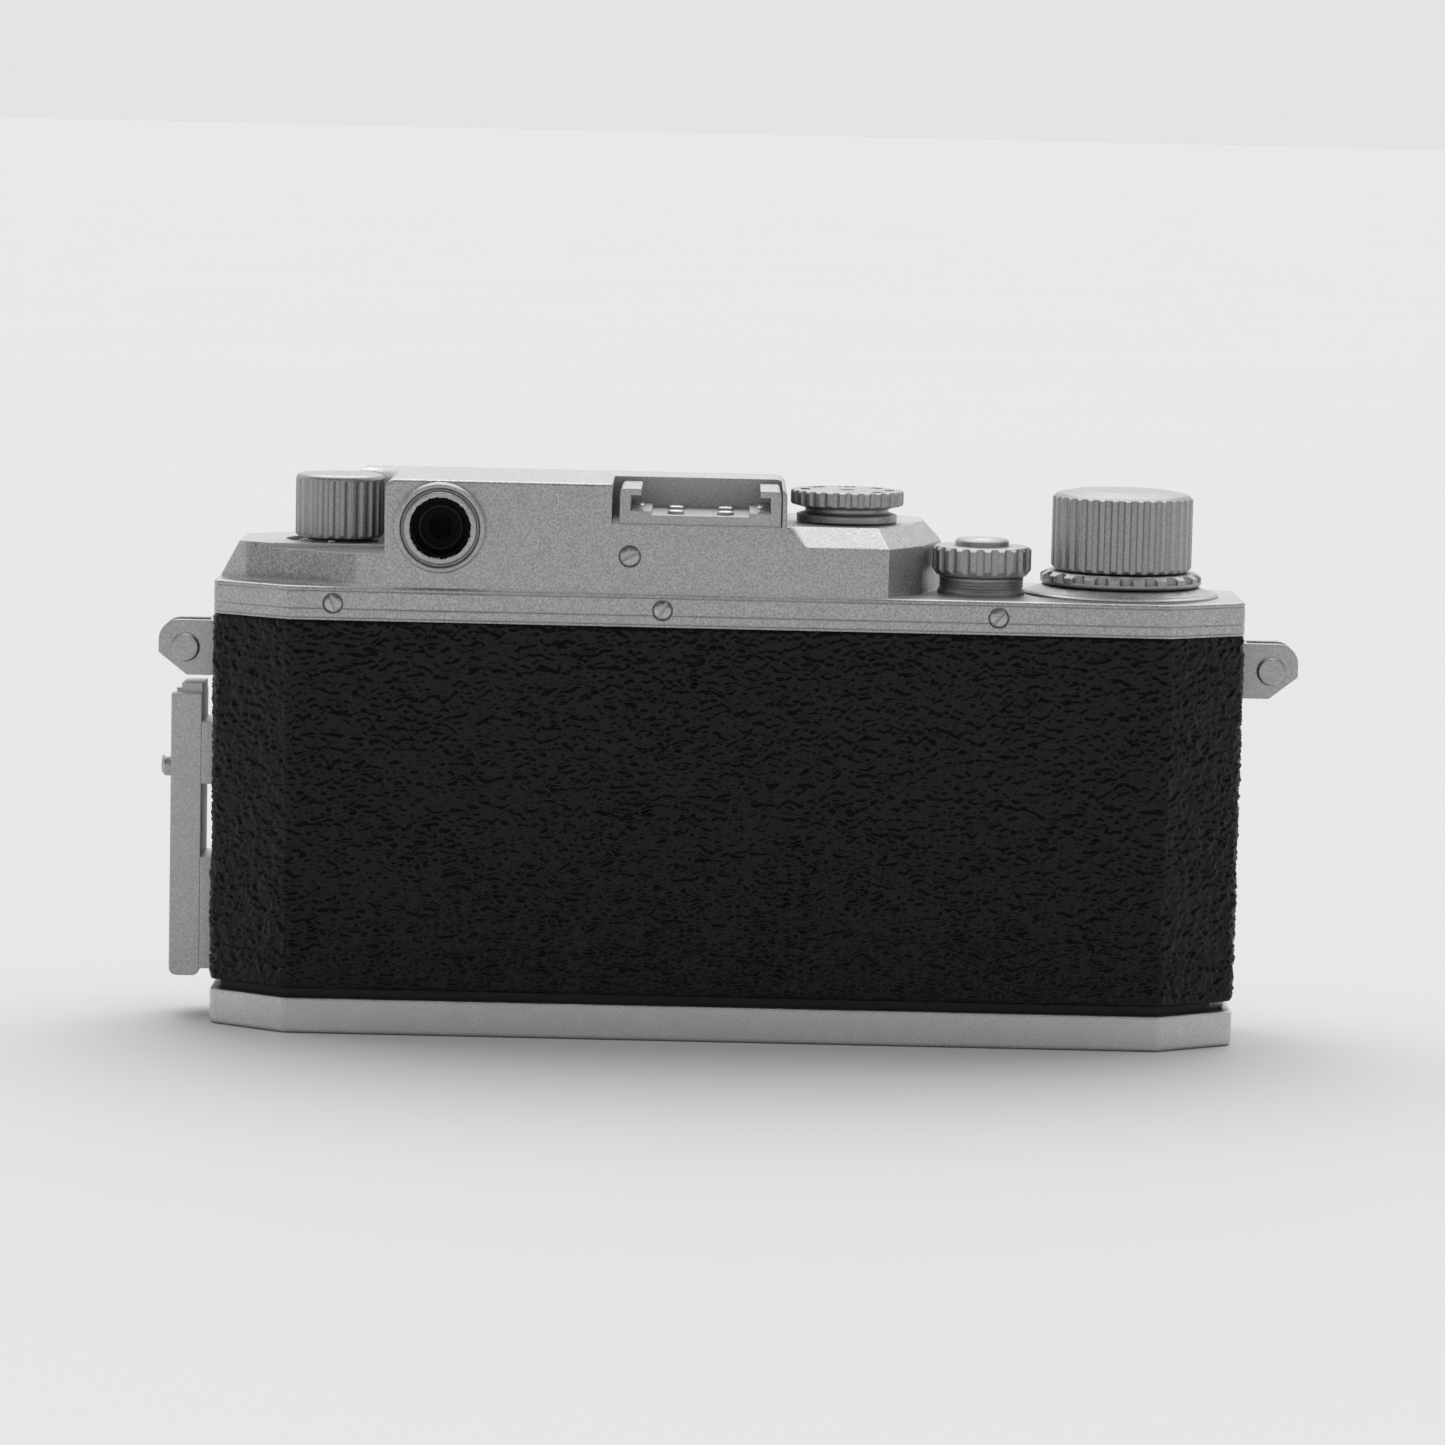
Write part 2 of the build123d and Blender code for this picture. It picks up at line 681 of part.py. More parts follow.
with BuildPart() as advance_gear:
    gear_disc(advance_plane, math.hypot(advance_x - release_x,
                                        advance_y - release_y) - gear_radius - tooth_gap, 24)
    ring(advance_plane, advance_shaft_radius, 0, gear_low, gear_high, Mode.SUBTRACT)
finish(advance_gear.part, "advance_gear")

# ==== Top deck and top cover =============================================================
with BuildPart() as top_deck:
    plan_prism(cover_wall + 0.1, cover_bottom, deck_top)
    for plane, radius in ((dial_plane, 1.5), (release_plane, 2.0), (rewind_plane, rewind_shaft_radius),
                          (advance_plane, advance_shaft_radius)):
        ring(plane, radius + run_fit, 0, cover_bottom, deck_top, Mode.SUBTRACT)
finish(top_deck.part, "top_deck")

eyepiece_plane = Plane(origin=(eyepiece_x, 0, eyepiece_z), x_dir=(1, 0, 0), z_dir=(0, 0, 1))
range_plane = forward(range_x, range_z)

with BuildPart() as tall_block:
    block((housing_right, housing_front_left), (housing_front, housing_rear), (cover_top - 0.5,
                                                                               housing_top))
    block((housing_left, housing_front_left + 1), (rewind_y, half_depth), (cover_top - 1, housing_top + 1),
          Mode.SUBTRACT)
    ring(rewind_plane, housing_notch, 0, cover_top - 1, housing_top + 1, Mode.SUBTRACT)
    ends = tall_block.edges().filter_by(Axis.Y).group_by(Axis.Z)[-1]
    fillet(ends, 1.4)
    fillet(tall_block.faces().sort_by(Axis.Z)[-1].edges(), edge_softening)

with BuildPart() as dial_block:
    bend_y = step_corner_y
    prism_of([(housing_right + 2, housing_rear), (step_rear_right, housing_rear),
              (step_right + 1.3, bend_y[0]), (step_right, bend_y[1]), (step_right - step_reach, bend_y[2]),
              (step_right - step_reach, bend_y[3]), (step_right + 3, housing_front),
              (housing_right + 2, housing_front)], cover_top - 0.5, step_top)
    bevels = dial_block.edges().group_by(Axis.Z)[-1].filter_by(
        lambda edge: edge.center().Y > ledge_front - half_depth and edge.center().X < housing_right + 1)
    chamfer(bevels, step_bevel)

bevel_start = housing_right - bevel_lead

with BuildPart() as bevel_filler:
    block((bevel_start, housing_right + 2), (housing_rear - step_bevel, housing_rear), (cover_top,
                                                                                        step_top))
    turned(Plane(origin=(bevel_start, housing_rear, 0), x_dir=(1, 0, 0), z_dir=(0, -1, 0)),
           [(0, step_top - step_bevel), (step_bevel, step_top), (step_bevel, step_top + 1), (0,
                                                                                             step_top + 1)],
           Mode.SUBTRACT)

with BuildPart() as platform:
    prism_of([(housing_left - 3, housing_front), (rewind_x + platform_front_reach, housing_front),
              (platform_end - platform_corner, -platform_side), (platform_end, -platform_corner),
              (platform_end, platform_corner), (platform_end - platform_corner, platform_side),
              (rewind_x - platform_rear_reach, housing_rear),
              (housing_left - 3, housing_rear)], cover_top - 0.5, platform_top)
    slope = platform.edges().group_by(Axis.Z)[-1].filter_by(lambda edge: edge.center().X > platform_end - 0.1)
    chamfer(slope, platform_top - cover_top - 0.4, platform_slope)
    ring(rewind_plane, pocket_radius, 0, pocket_floor, platform_top + 1, Mode.SUBTRACT)
    block((housing_left - 3, ledge_end), (ledge_front, half_depth), (pocket_floor, platform_top + 1),
          Mode.SUBTRACT)

with BuildPart() as top_cover:
    plan_prism(0, cover_bottom, cover_top)
    fillet(top_cover.faces().sort_by(Axis.Z)[-1].edges(), edge_softening)
    for drop in line_drops:
        plan_line(cover_top - drop)
    add(platform.part)
    add(tall_block.part)
    add(dial_block.part)
    add(bevel_filler.part)
    plan_prism(cover_wall, 0, cover_ceiling, Mode.SUBTRACT)
    inner_front = housing_front + housing_wall
    inner_rear = housing_rear - housing_wall
    block((housing_right + housing_wall + 1.5, housing_left - housing_wall), (inner_front, inner_rear),
          (cover_bottom, step_top - housing_wall), Mode.SUBTRACT)
    block((recess_left + housing_wall, housing_left - housing_wall), (inner_front, inner_rear),
          (cover_bottom, housing_top - housing_wall), Mode.SUBTRACT)
    block((recess_right + housing_wall, housing_left - housing_wall), (inner_front,
                                                                       recess_front - housing_wall),
          (cover_bottom, housing_top - housing_wall), Mode.SUBTRACT)
    block((step_rear_right + 0.5, housing_right), (housing_front + 2.5, housing_rear - 5.2),
          (cover_bottom, step_top - housing_wall), Mode.SUBTRACT)
    block((housing_left + 1, platform_end - 7), (housing_front + 3, 8.5), (cover_bottom,
                                                                           pocket_floor - housing_wall),
          Mode.SUBTRACT)
    block((recess_right, recess_left), (recess_front, half_depth), (step_top, housing_top + 1),
          Mode.SUBTRACT)
    ring(eyepiece_plane, eyepiece_bore, 0, 0, half_depth, Mode.SUBTRACT)
    block((eyepiece_x - finder_width / 2, eyepiece_x + finder_width / 2), (housing_front - 1, 0),
          (eyepiece_z - finder_height / 2, eyepiece_z + finder_height / 2), Mode.SUBTRACT)
    ring(range_plane, range_radius, 0, 0, -housing_front + 1, Mode.SUBTRACT)
    ring(rewind_plane, rewind_shaft_radius + run_fit, 0, 0, housing_top, Mode.SUBTRACT)
    ring(dial_plane, dial_shaft_radius + run_fit, 0, 0, housing_top, Mode.SUBTRACT)
    ring(release_plane, 1.6, 0, 0, housing_top, Mode.SUBTRACT)
    ring(advance_plane, advance_shaft_radius + run_fit, 0, 0, housing_top, Mode.SUBTRACT)
    for place in screw_places:
        ring(forward(place, screw_z), screw_radius, 0, -half_depth, half_depth, Mode.SUBTRACT)
    ring(forward(housing_screw_x, housing_screw_z), housing_screw_radius, 0, -half_depth, 0, Mode.SUBTRACT)
finish(top_cover.part, "top_cover")


def slotted_screw(x, z, radius, face, facing, turn):
    """Adds a flush slotted screw whose head shows at Y = face, on the side it faces."""
    seat = face - facing * cover_wall
    ring(forward(x, z), radius, 0, min(-face, -seat), max(-face, -seat))
    slot = Plane(origin=(x, face - facing * screw_slot_depth, z), x_dir=(1, 0, 0), z_dir=(0, facing, 0))
    with BuildSketch(slot, mode=Mode.PRIVATE) as cutter:
        Rectangle(2 * radius + 0.5, screw_slot_width, rotation=turn)
    extrude(cutter.sketch, amount=1, mode=Mode.SUBTRACT)


with BuildPart() as cover_screws:
    for index, place in enumerate(screw_places):
        slotted_screw(place, screw_z, screw_radius, half_depth, 1, 40 + 35 * index)
        slotted_screw(place, screw_z, screw_radius, -half_depth, -1, 15 + 50 * index)
    slotted_screw(housing_screw_x, housing_screw_z, housing_screw_radius, housing_rear, 1, 40)
finish(cover_screws.part, "cover_screws")

# ==== Accessory shoe =====================================================================
shoe_rear = shoe_front + shoe_length
shoe_floor = step_top + shoe_plate
shoe_seat = shoe_floor + shoe_step
shoe_lip_low = shoe_seat + shoe_slot_height
shoe_top = shoe_lip_low + shoe_lip
shoe_depth = (shoe_front, shoe_rear)

with BuildPart() as accessory_shoe:
    block((shoe_x - shoe_width / 2, shoe_x + shoe_width / 2), shoe_depth, (step_top, shoe_top))
    block((shoe_x - shoe_slot_width / 2, shoe_x + shoe_slot_width / 2), shoe_depth, (shoe_seat,
                                                                                     shoe_lip_low),
          Mode.SUBTRACT)
    block((shoe_x - shoe_opening / 2, shoe_x + shoe_opening / 2), shoe_depth, (shoe_seat, shoe_top + 1),
          Mode.SUBTRACT)
    middle = shoe_width / 2 - shoe_step_width - 1.2
    block((shoe_x - middle, shoe_x + middle), shoe_depth, (shoe_floor, shoe_seat), Mode.SUBTRACT)
    outer_edges = accessory_shoe.edges().filter_by(Axis.Y).filter_by(
        lambda edge: edge.center().Z > shoe_top - 0.01
        and abs(edge.center().X - shoe_x) > shoe_width / 2 - 0.1)
    fillet(outer_edges, 0.6)
    with Locations((shoe_x, (shoe_front + shoe_rear) / 2, shoe_floor)):
        with GridLocations(shoe_screw_spacing, shoe_screw_rows, 2, 2):
            Cylinder(0.8, 2, mode=Mode.SUBTRACT)
finish(accessory_shoe.part, "accessory_shoe")

with BuildPart() as shoe_spring:
    for side in (-1, 1):
        edge = shoe_x + side * (shoe_slot_width / 2 - 0.2)
        inner = edge - side * 1.5
        block((min(edge, inner), max(edge, inner)), (shoe_front + 0.4, shoe_rear - 0.5),
              (shoe_seat, shoe_seat + 0.25))
        with BuildSketch(Plane.YZ.offset(min(edge, inner))) as bump:
            with Locations((shoe_rear - 3.0, shoe_seat + 0.2)):
                Circle(0.55)
        extrude(amount=1.5)
        block((min(edge, inner), max(edge, inner)), shoe_depth, (shoe_seat - 1, shoe_seat), Mode.SUBTRACT)
finish(shoe_spring.part, "shoe_spring")

with BuildPart() as shoe_screws:
    with Locations((shoe_x, (shoe_front + shoe_rear) / 2, shoe_floor)):
        with GridLocations(shoe_screw_spacing, shoe_screw_rows, 2, 2):
            Cylinder(0.78, 0.9, align=(Align.CENTER, Align.CENTER, Align.MAX))
            Cylinder(shoe_screw_radius, 0.55, align=(Align.CENTER, Align.CENTER, Align.MIN))
    fillet(shoe_screws.faces().filter_by(Axis.Z).group_by(Axis.Z)[-1].edges(), 0.45)
finish(shoe_screws.part, "shoe_screws")

# ==== Rewind =============================================================================
rewind_top = rewind_bottom + rewind_height
bush_high = rewind_bottom - face_gap

with BuildPart() as rewind_bush:
    ring(rewind_plane, selector_bore, rewind_shaft_radius + run_fit, pocket_floor, bush_high)
    chamfer(rewind_bush.faces().sort_by(Axis.Z)[-1].outer_wire().edges(), 0.3)
finish(rewind_bush.part, "rewind_bush")

with BuildPart() as rewind_shaft:
    ring(rewind_plane, rewind_shaft_radius, 0, fork_top - 1, rewind_top - 1.3)
    ring(rewind_plane, fork_radius, 0, fork_top - fork_height, fork_top)
    block((rewind_x - 0.8, rewind_x + 0.8), (-4, 4), (fork_top - 5, fork_top - 1.5), Mode.SUBTRACT)
finish(rewind_shaft.part, "rewind_shaft")

with BuildPart() as rewind_knob:
    ring(rewind_plane, rewind_radius, 0, rewind_bottom, rewind_top)
    fillet(rewind_knob.faces().sort_by(Axis.Z)[-1].edges(), 0.7)
    chamfer(rewind_knob.faces().sort_by(Axis.Z)[0].edges(), 0.4)
    flutes(rewind_plane, rewind_radius + 0.22, rewind_flutes, 0.56, rewind_bottom - 1, rewind_top - 0.75)
    ring(rewind_plane, rewind_shaft_radius + run_fit, 0, rewind_bottom - 1, rewind_top - 1.1, Mode.SUBTRACT)
finish(rewind_knob.part, "rewind_knob")

with BuildPart() as selector_lever:
    lever_low = pocket_floor + slide_fit
    lever_plane_low = Plane(origin=(rewind_x, rewind_y, lever_low), x_dir=(0.1, 1, 0), z_dir=(0, 0, 1))
    arm_root = selector_radius - 0.6
    ring(rewind_plane, selector_radius, selector_bore + 2 * run_fit, lever_low, lever_low + selector_thickness)
    with BuildSketch(lever_plane_low) as arm:
        with Locations(((arm_root + selector_arm) / 2, 0)):
            Rectangle(selector_arm - arm_root, selector_arm_width)
        fillet(arm.vertices().group_by(Axis.Y)[-1], 0.5)
    extrude(amount=selector_thickness)
    with BuildSketch(lever_plane_low) as tab:
        with Locations((selector_arm - 1.1 * selector_tip_radius, 0)):
            Circle(selector_tip_radius)
    extrude(amount=2 * selector_thickness)
finish(selector_lever.part, "selector_lever")

# ==== Speed dial and release =============================================================
neck_low = step_top + face_gap
rim_low = step_top + dial_neck + face_gap
rim_high = rim_low + dial_rim

with BuildPart() as speed_dial:
    turned(dial_plane, [(0, cover_top), (dial_shaft_radius, cover_top), (dial_shaft_radius, neck_low),
                        (dial_flange_radius, neck_low), (dial_flange_radius, neck_low + dial_flange),
                        (dial_waist_radius, neck_low + dial_flange + 0.35), (dial_waist_radius, rim_low - 0.45),
                        (dial_radius - 0.2, rim_low), (dial_radius, rim_low + 0.2),
                        (dial_radius, rim_high - 0.2), (dial_radius - 0.2, rim_high), (0, rim_high)])
    flutes(dial_plane, dial_radius + 0.2, dial_flutes, 0.55, rim_low - 0.5, rim_high + 0.1)
    ring(dial_plane, 1.1, 0, rim_high - 0.25, rim_high, Mode.SUBTRACT)
finish(speed_dial.part, "speed_dial")

collar_top = collar_bottom + collar_height
spigot_top = collar_top - 1.0

with BuildPart() as release_neck:
    turned(release_plane, [(1.6, cover_top), (neck_radius + 0.25, cover_top), (neck_radius + 0.25,
                                                                               cover_top + 0.4),
                           (neck_radius, cover_top + 0.7), (neck_radius, collar_bottom - face_gap),
                           (spigot_radius, collar_bottom - face_gap), (spigot_radius, spigot_top),
                           (button_radius + run_fit, spigot_top), (button_radius + run_fit,
                                                                   cover_top + 0.9),
                           (1.6, cover_top + 0.9)])
    for groove in range(neck_grooves):
        low = cover_top + 0.85 + 2 * groove * line_width * 1.3
        ring(release_plane, neck_radius + 1, neck_radius - line_depth, low, low + line_width, Mode.SUBTRACT)
finish(release_neck.part, "release_neck")

with BuildPart() as release_collar:
    turned(release_plane, [(spigot_radius + run_fit, collar_bottom), (collar_radius - 0.6, collar_bottom),
                           (collar_radius, collar_bottom + 0.8), (collar_radius, collar_top - 0.45),
                           (collar_radius - 0.45, collar_top), (button_radius + 0.35, collar_top),
                           (button_radius + run_fit, collar_top - 0.3),
                           (button_radius + run_fit, spigot_top + face_gap),
                           (spigot_radius + run_fit, spigot_top + face_gap)])
    flutes(release_plane, collar_radius + 0.35, collar_flutes, 0.72, collar_bottom - 0.1, collar_top + 0.1)
finish(release_collar.part, "release_collar")

with BuildPart() as release_button:
    head_low = button_top - button_height
    turned(release_plane, [(0, cover_top + 0.2), (1.5, cover_top + 0.2), (1.5, head_low), (button_radius,
                                                                                           head_low),
                           (button_radius, button_top - 0.35), (button_radius - 0.35, button_top),
                           (1.9, button_top - 0.2), (1.2, button_top - 0.5), (1.2, button_top - 3.0),
                           (0, button_top - 3.0)])
finish(release_button.part, "release_button")

# ==== Film advance =======================================================================
advance_top = advance_bottom + advance_height

with BuildPart() as advance_knob:
    turned(advance_plane, [(0, spool_top - 6), (advance_shaft_radius, spool_top - 6),
                           (advance_shaft_radius, advance_bottom), (advance_radius - 0.5, advance_bottom),
                           (advance_radius, advance_bottom + 0.5), (advance_radius, advance_top - 0.6),
                           (advance_radius - 0.6, advance_top), (advance_radius - 3.0,
                                                                 advance_top + advance_dome),
                           (0, advance_top + advance_dome)])
    flutes(advance_plane, advance_radius + 0.15, advance_flutes, 0.58, advance_bottom - 0.1,
           advance_top - 0.5)
finish(advance_knob.part, "advance_knob")

with BuildPart() as counter_dial:
    counter_top = counter_bottom + counter_height
    turned(advance_plane, [(advance_shaft_radius + run_fit, counter_bottom), (counter_radius - 0.3,
                                                                              counter_bottom),
                           (counter_radius, counter_bottom + 0.3), (counter_radius, counter_top - 0.5),
                           (counter_radius - 0.9, counter_top), (advance_shaft_radius + run_fit,
                                                                 counter_top)])
    flutes(advance_plane, counter_radius, counter_notches, counter_notch_radius,
           counter_bottom + counter_height / 3, counter_top + 0.1)
finish(counter_dial.part, "counter_dial")

with BuildPart() as counter_seat:
    turned(advance_plane, [(advance_shaft_radius + run_fit, cover_top), (seat_radius, cover_top),
                           (seat_radius, cover_top + seat_edge / 2),
                           (seat_radius - 0.5, cover_top + seat_edge), (seat_cone_radius, cover_top + seat_edge),
                           (counter_radius - 0.2, cover_top + seat_height),
                           (advance_shaft_radius + run_fit, cover_top + seat_height)])
finish(counter_seat.part, "counter_seat")

# ==== Eyepiece, finder and rangefinder ===================================================
with BuildPart() as eyepiece_ring:
    turned(eyepiece_plane, [(4.9, housing_rear - 1.35), (eyepiece_bore, housing_rear - 1.35),
                            (eyepiece_bore, housing_rear),
                            (eyepiece_radius, housing_rear), (eyepiece_radius, housing_rear + 0.7),
                            (eyepiece_radius - 0.3, housing_rear + 1.0), (eyepiece_radius - 0.65,
                                                                          housing_rear + 1.0),
                            (5.1, housing_rear + 0.55), (4.9, housing_rear + 0.55)])
finish(eyepiece_ring.part, "eyepiece_ring")

with BuildPart() as eyepiece_retainer:
    turned(eyepiece_plane, [(2.95, housing_rear - 1.85), (4.85, housing_rear - 1.85), (4.85,
                                                                                       housing_rear + 0.9),
                            (4.6, housing_rear + 1.1),
                            (4.1, housing_rear + 1.1), (3.9, housing_rear + 0.8), (3.9,
                                                                                   housing_rear - 1.15),
                                (2.95, housing_rear - 1.15)])
finish(eyepiece_retainer.part, "eyepiece_retainer")

window_rear = -housing_front - housing_wall

with BuildPart() as finder_glasses:
    ring(eyepiece_plane, 4.6, 0, housing_rear - 2.95, housing_rear - 2.05)
    block((eyepiece_x - finder_width / 2 + 0.8, eyepiece_x + finder_width / 2 - 0.8),
          (housing_front, housing_front + 0.8),
          (eyepiece_z - finder_height / 2 + 0.8, eyepiece_z + finder_height / 2 - 0.8))
    ring(range_plane, range_radius - 0.8, 0, -housing_front - 0.8, -housing_front)
finish(finder_glasses.part, "finder_glasses")

with BuildPart() as window_frames:
    block((eyepiece_x - finder_width / 2, eyepiece_x + finder_width / 2),
          (housing_front - 0.8, housing_front + housing_wall),
          (eyepiece_z - finder_height / 2, eyepiece_z + finder_height / 2))
    fillet(window_frames.faces().sort_by(Axis.Y)[0].edges(), 0.35)
    block((eyepiece_x - finder_width / 2 + 0.8, eyepiece_x + finder_width / 2 - 0.8),
          (housing_front - 1, housing_front + housing_wall),
          (eyepiece_z - finder_height / 2 + 0.8, eyepiece_z + finder_height / 2 - 0.8), Mode.SUBTRACT)
    turned(range_plane, [(range_radius - 0.8, window_rear), (range_radius, window_rear),
                         (range_radius, -housing_front), (range_radius + 0.6, -housing_front),
                         (range_radius + 0.6, -housing_front + 0.5), (range_radius + 0.2,
                                                                      -housing_front + 0.8),
                         (range_radius - 0.8, -housing_front + 0.8)])
finish(window_frames.part, "window_frames")

tube_half_x = finder_width / 2 + 0.2
tube_half_z = finder_height / 2 + 0.2

with BuildPart() as finder_tube:
    block((eyepiece_x - tube_half_x, eyepiece_x + tube_half_x), (housing_front + housing_wall + 0.1,
                                                                 housing_rear - 3.75),
          (eyepiece_z - tube_half_z, eyepiece_z + tube_half_z))
    block((eyepiece_x - tube_half_x + 0.8, eyepiece_x + tube_half_x - 0.8), (housing_front, housing_rear),
          (eyepiece_z - tube_half_z + 0.8, eyepiece_z + tube_half_z - 0.8), Mode.SUBTRACT)
    block((eyepiece_x - tube_half_x - 1, eyepiece_x - tube_half_x + 1), (-3.5, 3.5), (eyepiece_z - 3,
                                                                                      eyepiece_z + 3),
          Mode.SUBTRACT)
finish(finder_tube.part, "finder_tube")

with BuildPart() as beam_splitter:
    block((eyepiece_x - 3.2, eyepiece_x + 3.2), (-3.2, 3.2), (eyepiece_z - tube_half_z + 0.8,
                                                              eyepiece_z + 3.2))
finish(beam_splitter.part, "beam_splitter")

with BuildPart() as rangefinder_prism:
    block((range_x - 3.5, eyepiece_x - tube_half_x - 2), (-6.5, 3.5), (deck_top + 3.2, deck_top + 4.4))
    with BuildSketch(Plane.XY.offset(deck_top + 4.4)) as prism_plan:
        with BuildLine():
            Polyline((range_x - 3.0, -3.0), (range_x + 3.0, -3.0), (range_x + 3.0, 3.0), close=True)
        make_face()
    extrude(amount=6.0)
finish(rangefinder_prism.part, "rangefinder_prism")

# ==== Lens ===============================================================================
thread_low = half_depth - covering_thickness

with BuildPart() as mount_ring:
    turned(lens_plane, [(thread_radius, thread_low), (mount_flange_radius, thread_low),
                        (mount_flange_radius, half_depth + mount_flange - 0.3),
                        (mount_flange_radius - 0.3, half_depth + mount_flange),
                        (mount_neck_radius, half_depth + mount_flange), (mount_neck_radius, flange_front),
                        (thread_radius, flange_front)])
    for turn in range(4):
        screw_angle = math.radians(45 + 90 * turn)
        screw_reach = (mount_flange_radius + mount_neck_radius) / 2
        ring(forward(lens_x + screw_reach * math.cos(screw_angle),
                     lens_z + screw_reach * math.sin(screw_angle)),
             0.6, 0, half_depth + mount_flange - 0.4, half_depth + mount_flange, Mode.SUBTRACT)
finish(mount_ring.part, "mount_ring")

barrel_front = flange_front + barrel_base
focus_low = barrel_front + face_gap
focus_high = focus_low + focus_length
sleeve_front = focus_high - 2.0

with BuildPart() as lens_barrel:
    turned(lens_plane, [(sleeve_bore, thread_low + 0.3), (thread_radius - run_fit, thread_low + 0.3),
                        (thread_radius - run_fit, flange_front), (barrel_radius - 0.3, flange_front),
                        (barrel_radius, flange_front + 0.3), (barrel_radius, barrel_front - 0.3),
                        (barrel_radius - 0.3, barrel_front), (sleeve_radius, barrel_front),
                        (sleeve_radius, sleeve_front), (sleeve_bore, sleeve_front)])
finish(lens_barrel.part, "lens_barrel")

with BuildPart() as focus_ring:
    turned(lens_plane, [(sleeve_radius + run_fit, focus_low), (focus_radius - 1.0, focus_low),
                        (focus_radius - 1.0, focus_low + 2.6), (focus_radius, focus_low + 3.0),
                        (focus_radius, focus_high - 0.4), (focus_radius - 0.4, focus_high),
                        (sleeve_radius + run_fit, focus_high)])
    flutes(lens_plane, focus_radius + 3.1, focus_scallops, 4.4, focus_low + 2.6, focus_high + 0.1)
finish(focus_ring.part, "focus_ring")

with BuildPart() as focus_tab:
    tab_plane = Plane(origin=(lens_x, -(focus_low + 1.3), lens_z),
                      x_dir=(math.cos(math.radians(tab_angle)), 0, math.sin(math.radians(tab_angle))),
                      z_dir=(0, -1, 0))
    with BuildSketch(tab_plane.offset(-1.1)) as tab_outline:
        with Locations((focus_radius - 1.0 + tab_reach / 2, 0)):
            Rectangle(tab_reach, 3.0)
        with Locations((focus_radius - 1.0 + tab_reach, 0)):
            Circle(2.4)
        Circle(focus_radius - 1.0, mode=Mode.SUBTRACT)
    extrude(amount=2.2)
    fillet(focus_tab.edges().filter_by(GeomType.CIRCLE).filter_by(lambda edge: edge.radius < 3), 0.5)
finish(focus_tab.part, "focus_tab")

head_low = focus_high + 0.3
head_high = head_low + head_length
tube_radius = sleeve_bore - 0.1
tube_bore = tube_radius - 2.0
head_front = head_high + aperture_length + 0.4

with BuildPart() as lens_head:
    turned(lens_plane, [(tube_bore, thread_low + 1.9), (tube_radius, thread_low + 1.9), (tube_radius,
                                                                                         head_low),
                        (head_radius - 0.3, head_low), (head_radius, head_low + 0.3), (head_radius,
                                                                                       head_high - 0.3),
                        (head_radius - 0.3, head_high), (tube_radius, head_high), (tube_radius, head_front),
                        (tube_bore, head_front)])
finish(lens_head.part, "lens_head")

with BuildPart() as aperture_ring:
    turned(lens_plane, [(tube_radius + run_fit, head_high + face_gap), (aperture_radius - 0.3,
                                                                        head_high + face_gap),
                        (aperture_radius, head_high + face_gap + 0.3),
                        (aperture_radius, head_high + aperture_length - 0.1),
                        (aperture_radius - 0.3, head_high + aperture_length + 0.2),
                        (tube_radius + run_fit, head_high + aperture_length + 0.2)])
    flutes(lens_plane, aperture_radius + 0.25, 60, 0.5, head_high + 1.8, head_high + aperture_length + 0.3)
finish(aperture_ring.part, "aperture_ring")

rim_front = head_front + rim_length

with BuildPart() as front_rim:
    turned(lens_plane, [(rim_bore, head_front), (head_radius - 0.2, head_front), (head_radius - 0.2,
                                                                                  rim_front),
                        (head_radius - 1.1, rim_front), (head_radius - 1.1, rim_front - filter_depth),
                        (rim_bore + 0.6, head_front + 0.8), (rim_bore, head_front + 0.8)])
finish(front_rim.part, "front_rim")


def bulge_at(radius, bulge, reach):
    """Height of a spherical face above its rim, at a distance reach from the axis."""
    sphere = (radius ** 2 + bulge ** 2) / (2 * bulge)
    return bulge - sphere + math.sqrt(sphere ** 2 - reach ** 2)


def lens_element(radius, rear, front, rear_bulge, front_bulge):
    """Adds a round lens whose rim runs from rear to front and whose faces bulge outward."""
    halfway = radius / 2
    with BuildSketch(lens_plane, mode=Mode.PRIVATE) as half_section:
        with BuildLine():
            Line((0, rear - rear_bulge), (0, front + front_bulge))
            ThreePointArc((0, front + front_bulge), (halfway, front + bulge_at(radius, front_bulge,
                                                                               halfway)),
                          (radius, front))
            Line((radius, front), (radius, rear))
            ThreePointArc((radius, rear), (halfway, rear - bulge_at(radius, rear_bulge, halfway)),
                          (0, rear - rear_bulge))
        make_face()
    revolve(half_section.sketch, axis=Axis(lens_plane.origin, lens_plane.y_dir))


with BuildPart() as lens_elements:
    lens_element(tube_bore - 0.02, thread_low + 3.6, thread_low + 6.2, 1.4, 0.8)
    lens_element(tube_bore - 0.02, thread_low + 9.0, thread_low + 11.0, 0.6, 0.6)
    lens_element(rim_bore - 0.02, head_front - 2.0, head_front + 0.7, 0.5, front_bulge)
finish(lens_elements.part, "lens_elements")

with BuildPart() as iris:
    iris_front = (head_low + head_high) / 2
    with BuildSketch(Plane(origin=(lens_x, -iris_front, lens_z), x_dir=(1, 0, 0), z_dir=(0, -1,
                                                                                         0))) as iris_plan:
        Circle(tube_bore - 0.02)
        RegularPolygon(6.5, 10, mode=Mode.SUBTRACT)
    extrude(amount=0.6)
finish(iris.part, "iris")

